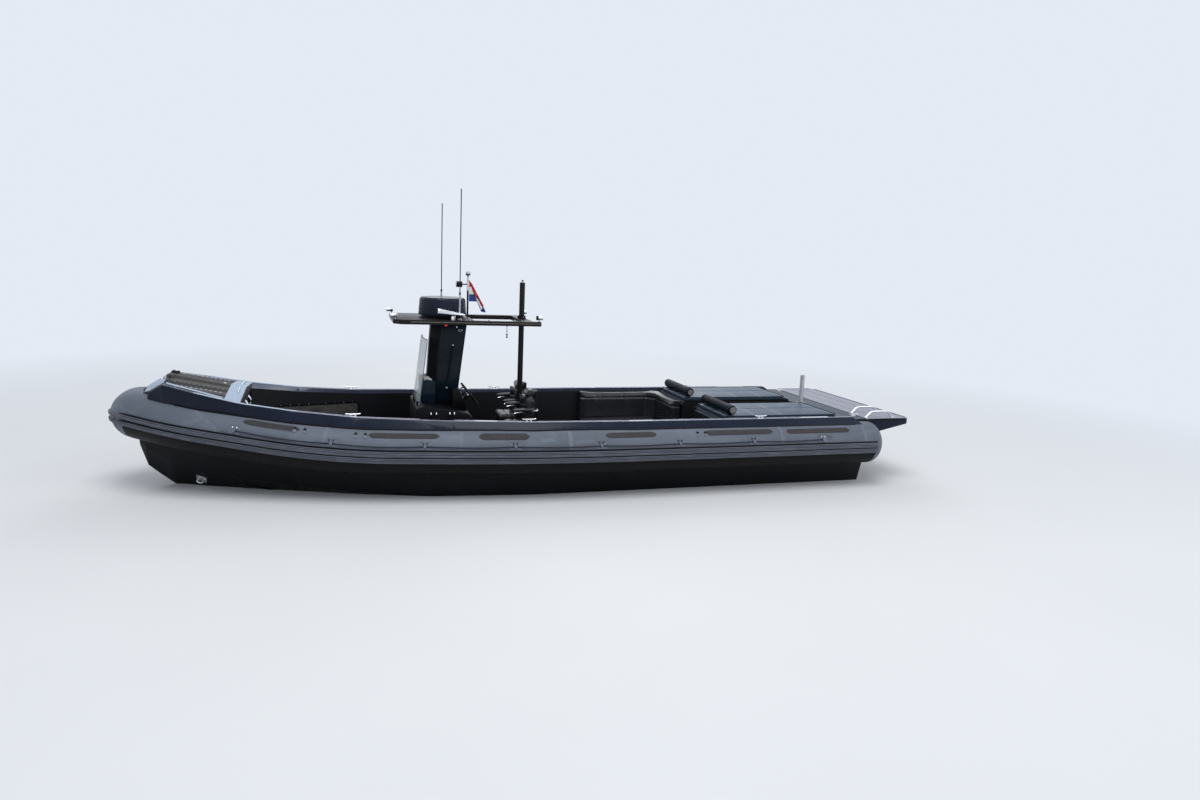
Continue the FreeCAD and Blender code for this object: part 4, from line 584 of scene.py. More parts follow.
def torus(centre, axis, radius, thick, around, height=1.0):
    """A ring about an axis, stretched along it by height"""
    nothing_selected()
    bpy.ops.mesh.primitive_torus_add(major_segments=around, minor_segments=8, major_radius=radius,
                                     minor_radius=thick)
    ring = bpy.context.object
    ring.scale.z = height
    bpy.ops.object.transform_apply(location=True, rotation=True, scale=True)
    return in_mesh(ring, axis, centre)


def ringed(centre, axis, radius, thick):
    """A round bezel"""
    return smooth(torus(centre, axis, radius, thick, 32), 60)


def ellipsoid(centre, radii, segments=24):
    nothing_selected()
    bpy.ops.mesh.primitive_uv_sphere_add(segments=segments, ring_count=segments // 2, radius=1.0,
                                         location=centre)
    piece = bpy.context.object
    piece.scale = radii
    return smooth(in_mesh(piece), 60)


def bent_bar(points, radius, sides=6, cyclic=False):
    """A round bar along a smooth line through near those points"""
    nothing_selected()
    curve = bpy.data.curves.new("bar", "CURVE")
    curve.dimensions = "3D"
    line = curve.splines.new("NURBS")
    line.points.add(len(points) - 1)
    for target, point in zip(line.points, points):
        target.co = (*point, 1.0)
    line.use_endpoint_u = not cyclic
    line.use_cyclic_u = cyclic
    line.order_u = 3
    line.resolution_u = 6
    curve.bevel_depth = radius
    curve.bevel_resolution = sides
    curve.use_fill_caps = not cyclic
    holder = bpy.data.objects.new("bar", curve)
    bpy.context.collection.objects.link(holder)
    only(holder)
    bpy.ops.object.convert(target="MESH")
    piece = bpy.context.object
    in_edit(piece, lambda: bpy.ops.mesh.remove_doubles(threshold=1e-5),
            lambda: bpy.ops.mesh.normals_make_consistent(inside=False))
    return smooth(piece, 50)


def both_ways(half):
    """A line's port half and its mirror image, as one line from port to starboard"""
    return half + [(x, -y, z) for x, y, z in reversed(half)]


def placed(piece, origin, up):
    """Puts a piece drawn in its own right, up and out directions on a face across the boat"""
    out = PORT.cross(up)
    piece.matrix_world = Matrix((
        (PORT.x, up.x, out.x, origin.x), (PORT.y, up.y, out.y, origin.y),
        (PORT.z, up.z, out.z, origin.z), (0, 0, 0, 1)))
    return in_mesh(piece)


def twin(piece):
    """A copy on the other side of the centreline, with its faces outwards"""
    copy = piece.copy()
    copy.data = piece.data.copy()
    bpy.context.collection.objects.link(copy)
    copy.parent = None
    for vertex in copy.data.vertices:
        vertex.co.y = -vertex.co.y
    in_edit(copy, lambda: bpy.ops.mesh.flip_normals())
    return copy


def pair(pieces, name, finish):
    """Settles port pieces and their starboard twins as one"""
    whole = in_mesh(joined(pieces))
    return settled([whole, twin(whole)], name, finish)


# The collar's line, for what is bonded or seated on it

def collar_line():
    corners = [Vector(corner) for corner in COLLAR_CORNERS]
    points = [corners[0]]
    for before, corner, after in zip(corners, corners[1:], corners[2:]):
        back, ahead = before - corner, after - corner
        run = BEND_SHARE * min(back.length, ahead.length)
        start = corner + back.normalized() * run
        end = corner + ahead.normalized() * run
        for step in range(BEND_STEPS + 1):
            share = step / BEND_STEPS
            points.append(start * (1 - share) ** 2 + corner * 2 * share * (1 - share) + end * share ** 2)
    return points + [corners[-1]]


COLLAR_LINE = collar_line()
COLLAR_REACH = [0.0]
for here, after in zip(COLLAR_LINE, COLLAR_LINE[1:]):
    COLLAR_REACH.append(COLLAR_REACH[-1] + (after - here).length)
COLLAR_WAYS = ([(COLLAR_LINE[1] - COLLAR_LINE[0]).normalized()]
               + [(after - before).normalized() for before, after in zip(COLLAR_LINE, COLLAR_LINE[2:])]
               + [(COLLAR_LINE[-1] - COLLAR_LINE[-2]).normalized()])


def collar_spot(index, share):
    """Centre, direction aft, outward and upward on the collar's line between two of its points"""
    centre = COLLAR_LINE[index].lerp(COLLAR_LINE[index + 1], share)
    along = COLLAR_WAYS[index].lerp(COLLAR_WAYS[index + 1], share).normalized()
    out = Vector((along.y, -along.x, 0)).normalized()
    return centre, along, out, out.cross(along).normalized()


def by_x(x):
    """The collar's spot at a station"""
    for index, (here, after) in enumerate(zip(COLLAR_LINE, COLLAR_LINE[1:])):
        if here.x >= x >= after.x and here.x - after.x > 1e-7:
            return collar_spot(index, (here.x - x) / (here.x - after.x))
    raise RuntimeError("no collar at %.3f" % x)


def by_run(share):
    """The collar's spot at a share of its line's length from the nose"""
    distance = COLLAR_REACH[-1] * share
    for index, (start, end) in enumerate(zip(COLLAR_REACH, COLLAR_REACH[1:])):
        if distance <= end or end == COLLAR_REACH[-1]:
            return collar_spot(index, min((distance - start) / (end - start), 1.0))


def collar_point(spot, degrees, proud=0.0):
    """A point on the port collar, the angle counted up from its outermost line"""
    centre, along, out, up = spot
    turn = math.radians(degrees)
    return centre + (out * math.cos(turn) + up * math.sin(turn)) * (COLLAR_RADIUS + proud)


# Sheets and strips laid along a surface

def upward(point):
    return UP


def away_from_line(point):
    return point - min(COLLAR_LINE, key=lambda spot: (spot - point).length)


def laid(place, along, across, thick, facing=upward):
    """A sheet of quads whose points come from place(u, v), thickened on the side of facing"""
    nothing_selected()
    bpy.ops.mesh.primitive_grid_add(x_subdivisions=along, y_subdivisions=across, size=1)
    piece = bpy.context.object
    for vertex in piece.data.vertices:
        vertex.co = place(vertex.co.x + 0.5, vertex.co.y + 0.5)
    piece.data.update()
    middle = piece.data.polygons[len(piece.data.polygons) // 2]
    if middle.normal.dot(facing(middle.center)) < 0:
        in_edit(piece, lambda: bpy.ops.mesh.flip_normals())
    with_modifier(piece, "SOLIDIFY", thickness=thick, offset=1.0, use_even_offset=True)
    return smooth(piece, 40)


def rounded_width(share, length, radius):
    """How much of a strip's width stands at a place along it, with rounded ends"""
    from_end = min(share, 1 - share) * length
    if from_end >= radius:
        return 1.0
    return math.sqrt(max(1 - (1 - from_end / radius) ** 2, 0.02))


def collar_patch(fore, aft, low, high, corner, thick):
    """A patch bonded on the port collar between two stations and two angles"""
    length = fore - aft

    def place(u, v):
        half = (v - 0.5) * (high - low) * rounded_width(u, length, corner)
        return collar_point(by_x(fore - length * u), (low + high) / 2 + half, 0.0003)
    return laid(place, max(int(length / 0.03), 8), 8, thick, away_from_line)


def collar_tape(path, width, thick):
    """A tape on the port collar along stations and angles"""
    lines = [Vector((x, math.radians(angle) * COLLAR_RADIUS)) for x, angle in path]

    def place(u, v):
        at = u * (len(lines) - 1)
        index = min(int(at), len(lines) - 2)
        spot = lines[index].lerp(lines[index + 1], at - index)
        way = (lines[min(index + 2, len(lines) - 1)] - lines[max(index - 1, 0)]).normalized()
        spot += Vector((-way.y, way.x)) * (v - 0.5) * width
        return collar_point(by_x(spot.x), math.degrees(spot.y / COLLAR_RADIUS), 0.0002)
    return laid(place, max(len(path) * 4, 24), 3, thick, away_from_line)


def collar_band(top, height, across):
    """A thin band along the whole port collar, downwards from an angle"""
    return laid(lambda u, v: collar_point(by_run(u), top - height * v, 0.0004), 260, across, 0.0015,
                away_from_line)


TREES = {}


def struck(node, start, way=(0, 0, -1)):
    """Where a line first meets a CAD node, and the normal there"""
    if node not in TREES:
        thing = frame["nodes"][node]
        TREES[node] = BVHTree.FromPolygons([thing.matrix_world @ vertex.co for vertex in thing.data.vertices],
                                           [tuple(face.vertices) for face in thing.data.polygons])
    return TREES[node].ray_cast(Vector(start), Vector(way))[:2]


def flat_top(node, x, y_from, y_to, steps=125):
    """Where a node's level top lies across the boat at a station: its inner and outer edge and height"""
    found = []
    for step in range(steps + 1):
        y = y_from + (y_to - y_from) * step / steps
        place, normal = struck(node, (x, y, 4))
        if place and normal.z > 0.972:
            found.append((y, place.z))
    top = max(height for _, height in found)
    level = [y for y, height in found if height > top - 0.012]
    return min(level), max(level), top


def strip_on(node, fore, aft, y_from, width, thick, corner=0.03):
    """A strip laid along the middle of a node's level top"""
    tops = [flat_top(node, fore + (aft - fore) * step / 10, y_from, 1.45) for step in range(11)]

    def place(u, v):
        index = min(int(u * 10), 9)
        share = u * 10 - index
        low, high, top = [a + (b - a) * share for a, b in zip(tops[index], tops[index + 1])]
        wide = width * rounded_width(u, abs(fore - aft), corner)
        return Vector((fore + (aft - fore) * u, (low + high) / 2 + (v - 0.5) * wide, top + 0.0003))
    return laid(place, 24, 2, thick)


def gunwale_foot():
    """Points where the gunwale's outer side comes down on the collar"""
    points = []
    for step in range(62):
        x = 4.26 - 8.34 * step / 61
        for rise in range(110):
            start = (x, 2.2, 0.56 + 0.005 * rise)
            side, collar = (struck(node, start, (0, -1, 0))[0] for node in ("gunwale", "tube_collar"))
            if side and (not collar or side.y > collar.y):
                points.append(side + Vector((0, 0.001, 0)))
                break
    return points


# Soft goods

def clothed(piece, **values):
    """Adds a cloth modifier with those settings"""
    cloth = piece.modifiers.new("Cloth", "CLOTH")
    for name, amount in values.items():
        setattr(cloth.settings, name, amount)
    return cloth


def run_cloth(piece, cloth, last):
    """Steps a cloth modifier to its last frame and applies it"""
    cloth.point_cache.frame_start = 1
    cloth.point_cache.frame_end = last
    for step in range(1, last + 1):
        bpy.context.scene.frame_set(step)
    only(piece)
    bpy.ops.object.modifier_apply(modifier=cloth.name)
    bpy.context.scene.frame_set(1)


def moved(piece, steps):
    """Moves each point of a piece along its own normal"""
    normals = [vertex.normal.copy() for vertex in piece.data.vertices]
    for vertex, normal, step in zip(piece.data.vertices, normals, steps):
        vertex.co += normal * step
    piece.data.update()


def sew(piece, seams, deep=0.007, wide=0.011):
    """Presses sewn channels in; a seam is an axis, a place along it and the side it shows on"""
    steps = []
    for vertex in piece.data.vertices:
        step = 0.0
        for axis, place, facing in seams:
            off = (vertex.co[axis] - place) / wide
            if abs(off) < 3 and vertex.normal.dot(Vector(facing)) > 0.25:
                step -= deep * math.exp(-off * off)
        steps.append(step)
    moved(piece, steps)


def cushion_of(node, name, finish, voxel, swell, shrink, seams):
    """Upholstery in a CAD cushion's place: blown up by cloth, sewn and creased"""
    piece = merged_copy(node)
    with_modifier(piece, "REMESH", mode="VOXEL", voxel_size=voxel)
    moved(piece, [-shrink] * len(piece.data.vertices))
    start = [vertex.co.copy() for vertex in piece.data.vertices]
    cloth = clothed(piece, use_pressure=True, uniform_pressure_force=4.0, quality=4, mass=0.3,
                    tension_stiffness=12, bending_stiffness=0.4)
    cloth.settings.effector_weights.gravity = 0.0
    run_cloth(piece, cloth, sizes().cloth_steps)
    for vertex, before in zip(piece.data.vertices, start):
        move = vertex.co - before
        if move.length > swell:
            vertex.co = before + move.normalized() * swell
    with_modifier(piece, "SMOOTH", factor=0.5, iterations=3)
    with_modifier(piece, "SUBSURF", levels=1, render_levels=1)
    sew(piece, seams)
    smooth(piece, 60)
    settled(piece, name, finish, NODE_BODY[node], (node,))
    return piece


def rounded_ring(low, high, z, corner, steps=5):
    """Points round a rectangle with rounded corners at one height"""
    points = []
    centres = ((high[0] - corner, high[1] - corner, 0), (low[0] + corner, high[1] - corner, 90),
               (low[0] + corner, low[1] + corner, 180), (high[0] - corner, low[1] + corner, 270))
    for x, y, start in centres:
        for step in range(steps):
            turn = math.radians(start + 90 * step / (steps - 1))
            points.append((x + corner * math.cos(turn), y + corner * math.sin(turn), z))
    return points


# Stage

def lamp(name, place, width, watts):
    """A square lamp aimed at the boat's middle"""
    light = bpy.data.lights.new(name, "AREA")
    light.shape = "SQUARE"
    light.size = width
    light.energy = watts
    holder = bpy.data.objects.new(name, light)
    bpy.context.scene.collection.objects.link(holder)
    holder.location = place
    holder.rotation_mode = "QUATERNION"
    holder.rotation_quaternion = (Vector((0, 0, 0.5)) - Vector(place)).to_track_quat("-Z", "Y")


class BOAT_OT_stage(bpy.types.Operator):
    """Camera, floor at the waterline and soft studio light"""
    bl_idname = "boat.stage"
    bl_label = "Stage"

    def execute(self, context):
        context.scene.view_settings.view_transform = "Standard"
        self.camera(context.scene)
        self.floor()
        lamp("key_lamp", (2.0, 6.0, 16.0), 10.0, 1500)
        lamp("fill_lamp", (-12.0, 11.0, 9.0), 11.0, 560)
        lamp("rim_lamp", (-4.0, -14.0, 11.0), 11.0, 760)
        self.world(context.scene)
        return {"FINISHED"}

    def camera(self, scene):
        camera = bpy.data.objects.new("Camera", bpy.data.cameras.new("Camera"))
        scene.collection.objects.link(camera)
        camera.data.lens = CAMERA_LENS
        camera.data.sensor_width = 36.0
        camera.data.clip_end = 300
        camera.location = CAMERA_PLACE
        aim = (CAMERA_AIM - CAMERA_PLACE).to_track_quat("-Z", "Y")
        camera.rotation_mode = "QUATERNION"
        camera.rotation_quaternion = aim @ Quaternion((0, 0, 1), CAMERA_ROLL)
        scene.camera = camera

    def floor(self):
        """Paper that fades into the backdrop with distance"""
        nothing_selected()
        bpy.ops.mesh.primitive_plane_add(size=160, location=(0, 0, 0))
        floor = bpy.context.object
        floor.name = "floor"
        paper = Finish("floor_paper", (0.72, 0.73, 0.74), 0.7)
        paper.patched(0.4, 2, 0.3, 0.8, (0.76, 0.77, 0.78), 0.6)
        reach = paper.node("VectorMath", "Value", {0: paper.place}, operation="LENGTH")
        seen = paper.node("LightPath", "Is Camera Ray", {})
        share = paper.product(paper.ranged(reach, *FLOOR_FADE), seen)
        pale = paper.node("Emission", "Emission", {"Color": (*BACKDROP, 1.0), "Strength": BACKDROP_SEEN})
        mixed = paper.node("MixShader", "Shader", {"Fac": share, 1: paper.shader.outputs["BSDF"], 2: pale})
        paper.tree.links.new(mixed, paper.tree.nodes["Material Output"].inputs["Surface"])
        floor.data.materials.append(paper.material)

    def world(self, scene):
        """A pale backdrop, dimmer as a light than as it is seen"""
        world = bpy.data.worlds.new("studio")
        world.use_nodes = True
        tree = world.node_tree
        rays = tree.nodes.new("ShaderNodeLightPath").outputs
        seen = rays["Is Camera Ray"]
        for ray in ("Is Glossy Ray", "Is Transmission Ray"):
            seen = shader_node(tree, "Math", "Value", {0: seen, 1: rays[ray]}, operation="MAXIMUM")
        level = shader_node(tree, "MapRange", "Result", {"Value": seen, "To Min": BACKDROP_LIGHT,
                                                         "To Max": BACKDROP_SEEN})
        back = tree.nodes["Background"]
        back.inputs["Color"].default_value = (*BACKDROP, 1.0)
        tree.links.new(level, back.inputs["Strength"])
        scene.world = world


class Step:
    """An operator that makes a piece or a group of like pieces"""

    def execute(self, context):
        self.build()
        return {"FINISHED"}


class BOAT_OT_frame_skins(Step, bpy.types.Operator):
    """Smooth, finished copies of the rigid CAD pieces"""
    bl_idname = "boat.frame_skins"
    bl_label = "Rigid pieces"

    def build(self):
        plain = {
            "rail": {"rub_rails": 0.003},
            "slats": {"bow_locker_lid": 0.002, "foredeck": 0.002},
            "steel": {"tow_post": 0.002, "lid_hinges": 0.001, "propeller_port": 0.002,
                      "propeller_starboard": 0.002},
            "chrome": {"platform_hoops": 0.0, "roof_fittings": 0.002, "throttle": 0.003,
                       "deck_ladder": 0.0, "bow_eyes": 0.002},
            "aft_deck": {"engine_lid_port": 0.004, "engine_lid_starboard": 0.004},
            "engine": {"engine_port": 0.01, "engine_starboard": 0.01},
            "drive": {"drive_shields": 0.006, "gimbal_port": 0.003, "gimbal_starboard": 0.003,
                      "drive_leg_port": 0.004, "drive_leg_starboard": 0.004},
            "inner": {"console": 0.02, "benches": 0.012, "wall_pocket_rims": 0.003},
            "black": {"dash": 0.008, "whip_aerials": 0.001, "light_pole": 0.002,
                      "helm_seat_frames": 0.006},
            "console": {"console_box": 0.005}, "screen": {"windscreen": 0.0},
            "roof": {"roof": 0.010, "mast": 0.003}, "radome": {"radome": 0.004},
            "rope": {"lifelines": 0.0}, "tape": {"tube_fittings": 0.001}, "hull": {"spray_rails": 0.003},
        }
        for finish, nodes in plain.items():
            for node, edge in nodes.items():
                dressed(node, finish, edge)
        dressed("tube_collar", "collar", 0.0, 40)
        mixed = (
            ("steering_wheel", "black", 0.0,
             {"chrome": lambda at, normal: (at - WHEEL_CENTRE).length < 0.14}),
            ("pylon", "black", 0.006,
             {"console": lambda at, normal: abs(at.y) > 0.1745 and abs(normal.y) > 0.7}),
            # The gunwale's level top faces take the lighter copy of its gelcoat: painted light
            ("gunwale", "gunwale", 0.006, {"gunwale_top": lambda at, normal: normal.z > 0.9}),
            ("swim_platform", "platform", 0.006, {"gunwale": lambda at, normal: normal.z < 0.6}),
            ("aft_steps", "console", 0.008, {"tread": lambda at, normal: normal.z > 0.9}),
            ("hull", "hull", 0.006, {
                "inner": lambda at, normal: at.z > 0.03 and abs(at.y) < 1.18 and at.x > -4.2,
                "sole": lambda at, normal: normal.z > 0.9 and 0.0 < at.z < 0.6,
                "aft_deck": lambda at, normal: normal.z > 0.9 and at.z > 0.8 and at.x < -2.2}),
        )
        for node, finish, edge, choices in mixed:
            painted_by_place(dressed(node, finish, edge), choices)


class BOAT_OT_collar_trim(Step, bpy.types.Operator):
    """Step pads, tapes, painted shadow lines and painted shade on the collar's underside"""
    bl_idname = "boat.collar_trim"
    bl_label = "Collar trim"

    def build(self):
        thick, tape = sizes().patch_proud, sizes().seam_proud
        pads = ((3.50, 2.90, 43, 57, 0.10), (2.16, 1.38, 43, 58, 0.08), (0.94, 0.36, 41, 60, 0.07),
                (-0.55, -1.20, 43, 59, 0.08), (-1.84, -2.80, 43, 59, 0.10), (-3.00, -3.94, 42, 57, 0.05))
        pair([collar_patch(*pad, thick) for pad in pads], "step_pads", "step_pad")
        # A near-black band over the collar's lower side, below the rails: painted shade
        pair([collar_band(-12.5, 56, 6)], "collar_underside_painted_shade", "skirt")
        pair([collar_band(2.9, 5.8, 3), bent_bar(gunwale_foot(), 0.010, sides=1)],
             "collar_shadow_lines", "black")
        seams = [collar_tape([(x, 13 + 5.5 * step) for step in range(11)], 0.05, tape)
                 for x in (2.62, 1.14, -0.12, -1.52, -2.92, -4.16)]
        seams.append(collar_tape([(4.02, 58), (3.96, 48), (3.86, 36), (3.76, 24), (3.74, 13)], 0.04, tape))
        for path in ([(4.00, 53), (3.86, 46), (3.76, 34), (3.70, 20), (3.71, 13)],
                     [(3.47, 66), (3.40, 56), (3.33, 47), (3.20, 44), (2.98, 43)]):
            seams.append(collar_tape(path, 0.012, tape * 2))
        pair(seams, "collar_tapes", "tape")
        ends = ((3.70, 3.56, 12, 20, 0.04), (-3.44, -3.66, 24, 36, 0.05))
        pair([collar_patch(*end, thick) for end in ends], "rope_end_patches", "rail")


class BOAT_OT_rail_ridges(Step, bpy.types.Operator):
    """Raised beads along both rub rails, lighter than the rail as painted highlight, and black bars at their
    edges as painted shade
    """
    bl_idname = "boat.rail_ridges"
    bl_label = "Rail beads"

    def build(self):
        # The beads take a lighter rubber as painted highlight; the black bars along the rails' edges are
        # painted shade
        for name, finish, angles, proud, radius in (
                ("rail_beads", "pale_rubber_and_highlight", (9.2, 5.8, -5.8, -9.2), 0.0165, 0.0045),
                ("rail_edge_painted_shade", "black", (12.8, 3.2, -3.2, -12.6), 0.0065, 0.0085)):
            pair([bent_bar([collar_point(by_run(step / 90), angle, proud) for step in range(91)],
                           radius, sides=1) for angle in angles], name, finish)


class BOAT_OT_rope_fittings(Step, bpy.types.Operator):
    """Whippings, ferrules and stitching where the lifeline is held, and the valve caps"""
    bl_idname = "boat.rope_fittings"
    bl_label = "Lifeline fittings"

    def build(self):
        ferrules, whippings, stitches, valves = [], [], [], []
        for index in range(8):
            x = 3.55 - 7.05 * index / 7
            for shift in (-0.022, 0.022):
                spot = by_x(x + shift)
                ring = torus(collar_point(spot, 30, 0.0175), spot[1], 0.0095, 0.0032, 20, 1.8)
                (ferrules if index in (0, 7) else whippings).append(ring)
            for shift in (-0.055, -0.035, 0.035, 0.055):
                spot = by_x(x + shift)
                for angle in (24.5, 35.5):
                    foot = collar_point(spot, angle, 0.0062)
                    stitches.append(rod(foot - spot[1] * 0.005, foot + spot[1] * 0.005, 0.0016, 8))
        pair(ferrules, "rope_ferrules", "chrome")
        pair(whippings, "rope_whippings", "rope")
        pair(stitches, "clip_stitches", "webbing")
        for x in (2.95, 2.845, 2.30, 2.195, -1.75, -1.855):
            spot = by_x(x)
            base = collar_point(spot, 52, 0.005)
            out = (base - spot[0]).normalized()
            valves.append(rod(base, base + out * 0.004, 0.017, 24, edge=0.0012))
            valves.append(rod(base + out * 0.003, base + out * 0.007, 0.009, 6, edge=0.001))
        pair(valves, "valve_caps", "black")


def cleat(foot, scale=1.0):
    """A horn cleat on two feet, in line with the boat"""
    foot = Vector(foot)

    def at(x, y, z):
        return foot + Vector((x, y, z)) * scale
    plate = boxed(at(-0.045, -0.016, 0) - UP * 0.001, at(0.045, 0.016, 0) + UP * 0.005, 0.002)
    horn = bent_bar([at(x, 0, z) for x, z in ((-0.085, 0.036), (-0.06, 0.031), (0, 0.031), (0.06, 0.031),
                                              (0.085, 0.036))], 0.0075 * scale, sides=3)
    return joined([rod(at(x, 0, 0) - UP * 0.001, at(x * 0.8, 0, 0.030), 0.010 * scale, 16, 0.007 * scale)
                   for x in (-0.028, 0.028)] + [horn, plate])


class BOAT_OT_gunwale_trim(Step, bpy.types.Operator):
    """Bright strips, pale lines along its edges as painted highlight, cleats and small fittings along the
    gunwale
    """
    bl_idname = "boat.gunwale_trim"
    bl_label = "Gunwale trim"

    def build(self):
        strips = ((1.615, 1.208), (0.994, 0.712), (-0.897, -1.218), (-3.262, -3.737))
        pair([strip_on("gunwale", fore, aft, 0.9, 0.048, 0.005) for fore, aft in strips],
             "gunwale_strips", "chrome")
        outer, inner = [], []
        for step in range(83):
            x = 4.05 - 8.14 * step / 82
            low, high, top = flat_top("gunwale", x, 0.2, 1.45)
            outer.append((x, high - 0.003, top + 0.0005))
            inner.append((x, low + 0.004, top + 0.0005))
        # Pale bars along the gunwale's outer and inner top edges: painted highlight
        pair([bent_bar(outer, 0.0045, sides=1)], "gunwale_painted_highlight", "bead")
        pair([bent_bar(inner[8:-6], 0.005, sides=1)], "coaming_painted_highlight", "bead")
        pair([strip_on("gunwale", 4.06, 2.95, 0.2, 0.050, 0.004, 0.012)], "bow_side_strips", "deck")
        cleats = []
        for x in (2.35, 0.343, -2.72):
            low, high, top = flat_top("gunwale", x, 0.9, 1.45)
            cleats.append(cleat((x, (low + high) / 2, top)))
        cleats.append(cleat((-4.280, 1.012, 0.8805), 0.8))
        pair(cleats, "cleats", "chrome")
        staples = []
        for x in (-3.125, -3.86, -2.42):
            y = 1.185
            top = struck("hull", (x, y, 1.2))[0].z
            staples.append(block((x, y, top + 0.004), (0.045, 0.010, 0.004)))
            staples.append(bent_bar([(x + out, y, top + rise) for out, rise in (
                (-0.03, 0.004), (-0.03, 0.03), (0.03, 0.03), (0.03, 0.004))], 0.004, sides=2))
        pair(staples, "deck_staples", "chrome")


def deck_plate(fore, aft, half_fore, half_aft, along, width=None):
    """A pale plate on the port foredeck between two stations, or a strip of that width at its edge"""
    def place(u, v):
        x = fore + (aft - fore) * u
        half = half_fore + (half_aft - half_fore) * u
        inner = half - width if width else 0.0
        y = inner + (half - inner) * v
        spot = struck("foredeck", (x, y, 4))[0]
        return (spot or Vector((x, y, struck("foredeck", (x, inner * 0.9, 4))[0].z))) + UP * 0.0006
    return laid(place, along, 14, 0.003)


class BOAT_OT_foredeck_trim(Step, bpy.types.Operator):
    """Dashed seams, hatch hardware, pale plates and fittings of the foredeck"""
    bl_idname = "boat.foredeck_trim"
    bl_label = "Foredeck trim"

    def build(self):
        dashes, screws, handles = [], [], []
        for step in range(11):
            for y in (0.264, 0.415):
                x = 3.80 + 0.05 * step
                top = struck("foredeck", (x, y, 4))[0]
                if top:
                    dashes.append(block((x, y, top.z), (0.014, 0.0035, 0.004), 0.001, 1))
        for y in (0.10, 0.16, 0.22):
            top = struck("foredeck", (3.725, y, 2))[0].z
            dashes.append(boxed((3.695, y - 0.004, top - 0.002), (3.725, y + 0.004, top + 0.003), 0.001, 1))
        pair(dashes, "deck_dashes", "white")
        for x, y in ((3.585, 0.10), (3.585, 0.22), (3.585, 0.34), (3.645, 0.10), (3.645, 0.22), (3.645, 0.34),
                     (4.40, 0.10), (4.40, 0.26), (4.46, 0.08), (4.46, 0.20), (4.54, 0.10)):
            top, normal = struck("foredeck", (x, y, 2))
            screws.append(rod(top - normal * 0.001, top + normal * 0.004, 0.009, 16, edge=0.001))
        pair(screws, "deck_screws", "chrome")
        for x, y, reach in ((3.615, 0.16, 0.05), (3.615, 0.29, 0.05), (4.43, 0.17, 0.045)):
            top = struck("foredeck", (x, y, 2))[0]
            handles.append(bent_bar([top + Vector((0, reach * way, rise)) for way, rise in (
                (-1, -0.002), (-1, 0.030), (0, 0.034), (1, 0.030), (1, -0.002))], 0.006, sides=2))
        pair(handles, "hatch_handles", "chrome")
        top, normal = struck("bow_locker_lid", (3.80, 0, 2))
        settled([disc(top, normal, 0.026, 0.003), disc(top + normal * 0.002, normal, 0.018, 0.004)],
                "locker_latch", "chrome", NODE_BODY["bow_locker_lid"])
        pair([deck_plate(4.615, 4.385, 0.205, 0.375, 16), deck_plate(3.730, 3.563, 0.655, 0.700, 12),
              deck_plate(4.356, 3.745, 0.412, 0.655, 30, 0.050)], "deck_plates", "deck")


class BOAT_OT_console_fittings(Step, bpy.types.Operator):
    """Handles, staples, lamps, vents and seams of the console and pylon"""
    bl_idname = "boat.console_fittings"
    bl_label = "Console fittings"

    def build(self):
        chrome, black = [], []
        for name, side in reversed(SIDES):
            start, end = Vector((1.128, side * 0.2065, 1.712)), Vector((1.198, side * 0.2065, 1.182))
            foot = Vector((0, -side * 0.034, 0))
            black.append(bent_bar([start + foot, start, start.lerp(end, 0.1), start.lerp(end, 0.5),
                                   start.lerp(end, 0.9), end, end + foot], 0.011, sides=3))
            chrome += [rod(spot + foot * 1.02, spot + foot * 0.3, 0.018, 20, 0.013, edge=0.001)
                       for spot in (start, end)]
            chrome.append(rod((1.079, side * 0.1755, 1.945), (1.079, side * 0.1805, 1.945), 0.009, 20,
                              edge=0.001))
            turns = [math.tau * step / 12 for step in range(12)]
            chrome.append(bent_bar([(1.034 + 0.022 * math.cos(turn), side * 0.179,
                                     1.905 + 0.014 * math.sin(turn)) for turn in turns],
                                   0.0035, sides=2, cyclic=True))
            near, far = side * 0.47825, side * 0.515
            for x, lean in ((1.43, 0.005), (1.36, 0), (1.20, 0.005), (1.14, 0)):
                chrome.append(bent_bar([(x, near, 0.705), (x, far, 0.705), (x, far, 0.76),
                                        (x - lean, far, 0.86), (x - lean, far, 0.918),
                                        (x - lean, near, 0.918)], 0.008, sides=3))
            settled(ellipsoid((1.216, side * 0.188, 1.972), (0.020, 0.012, 0.016)), "side_lamp_" + name,
                    "red_lens" if side > 0 else "green_lens")
            black.append(block((1.216, side * 0.180, 1.972), (0.024, 0.004, 0.020), 0.002))
            black.append(block((1.245, side * 0.4825, 0.46), (0.255, 0.003, 0.16), 0.004))
            chrome += [rod((x, side * 0.484, z), (x, side * 0.488, z), 0.006, 12)
                       for x in (1.005, 1.485) for z in (0.315, 0.605)]
            chrome.append(rod((1.245, side * 0.484, 0.46), (1.245, side * 0.492, 0.46), 0.022, 24,
                              edge=0.002))
        settled(chrome, "console_brightwork", "chrome")
        settled(black, "console_handles", "black")

        def chart(u, v):
            waves = 0.028 * math.sin(3.1 * u) * (0.6 + 0.4 * math.sin(11 * v))
            return Vector((1.385 + 0.09 * u, -0.215 + 0.43 * v,
                           1.275 + waves + 0.006 * math.sin(23 * v + 5 * u)))
        settled(laid(chart, 14, 30, 0.004), "folded_chart", "white")
        vents = [boxed((0.892, -0.30, 0.34 + 0.03 * step), (0.899, 0.30, 0.352 + 0.03 * step), 0.002)
                 for step in range(8)]
        vents.append(boxed((0.893, -0.34, 0.60), (0.8995, 0.34, 0.606), 0.001))
        settled(vents, "console_vents", "black")


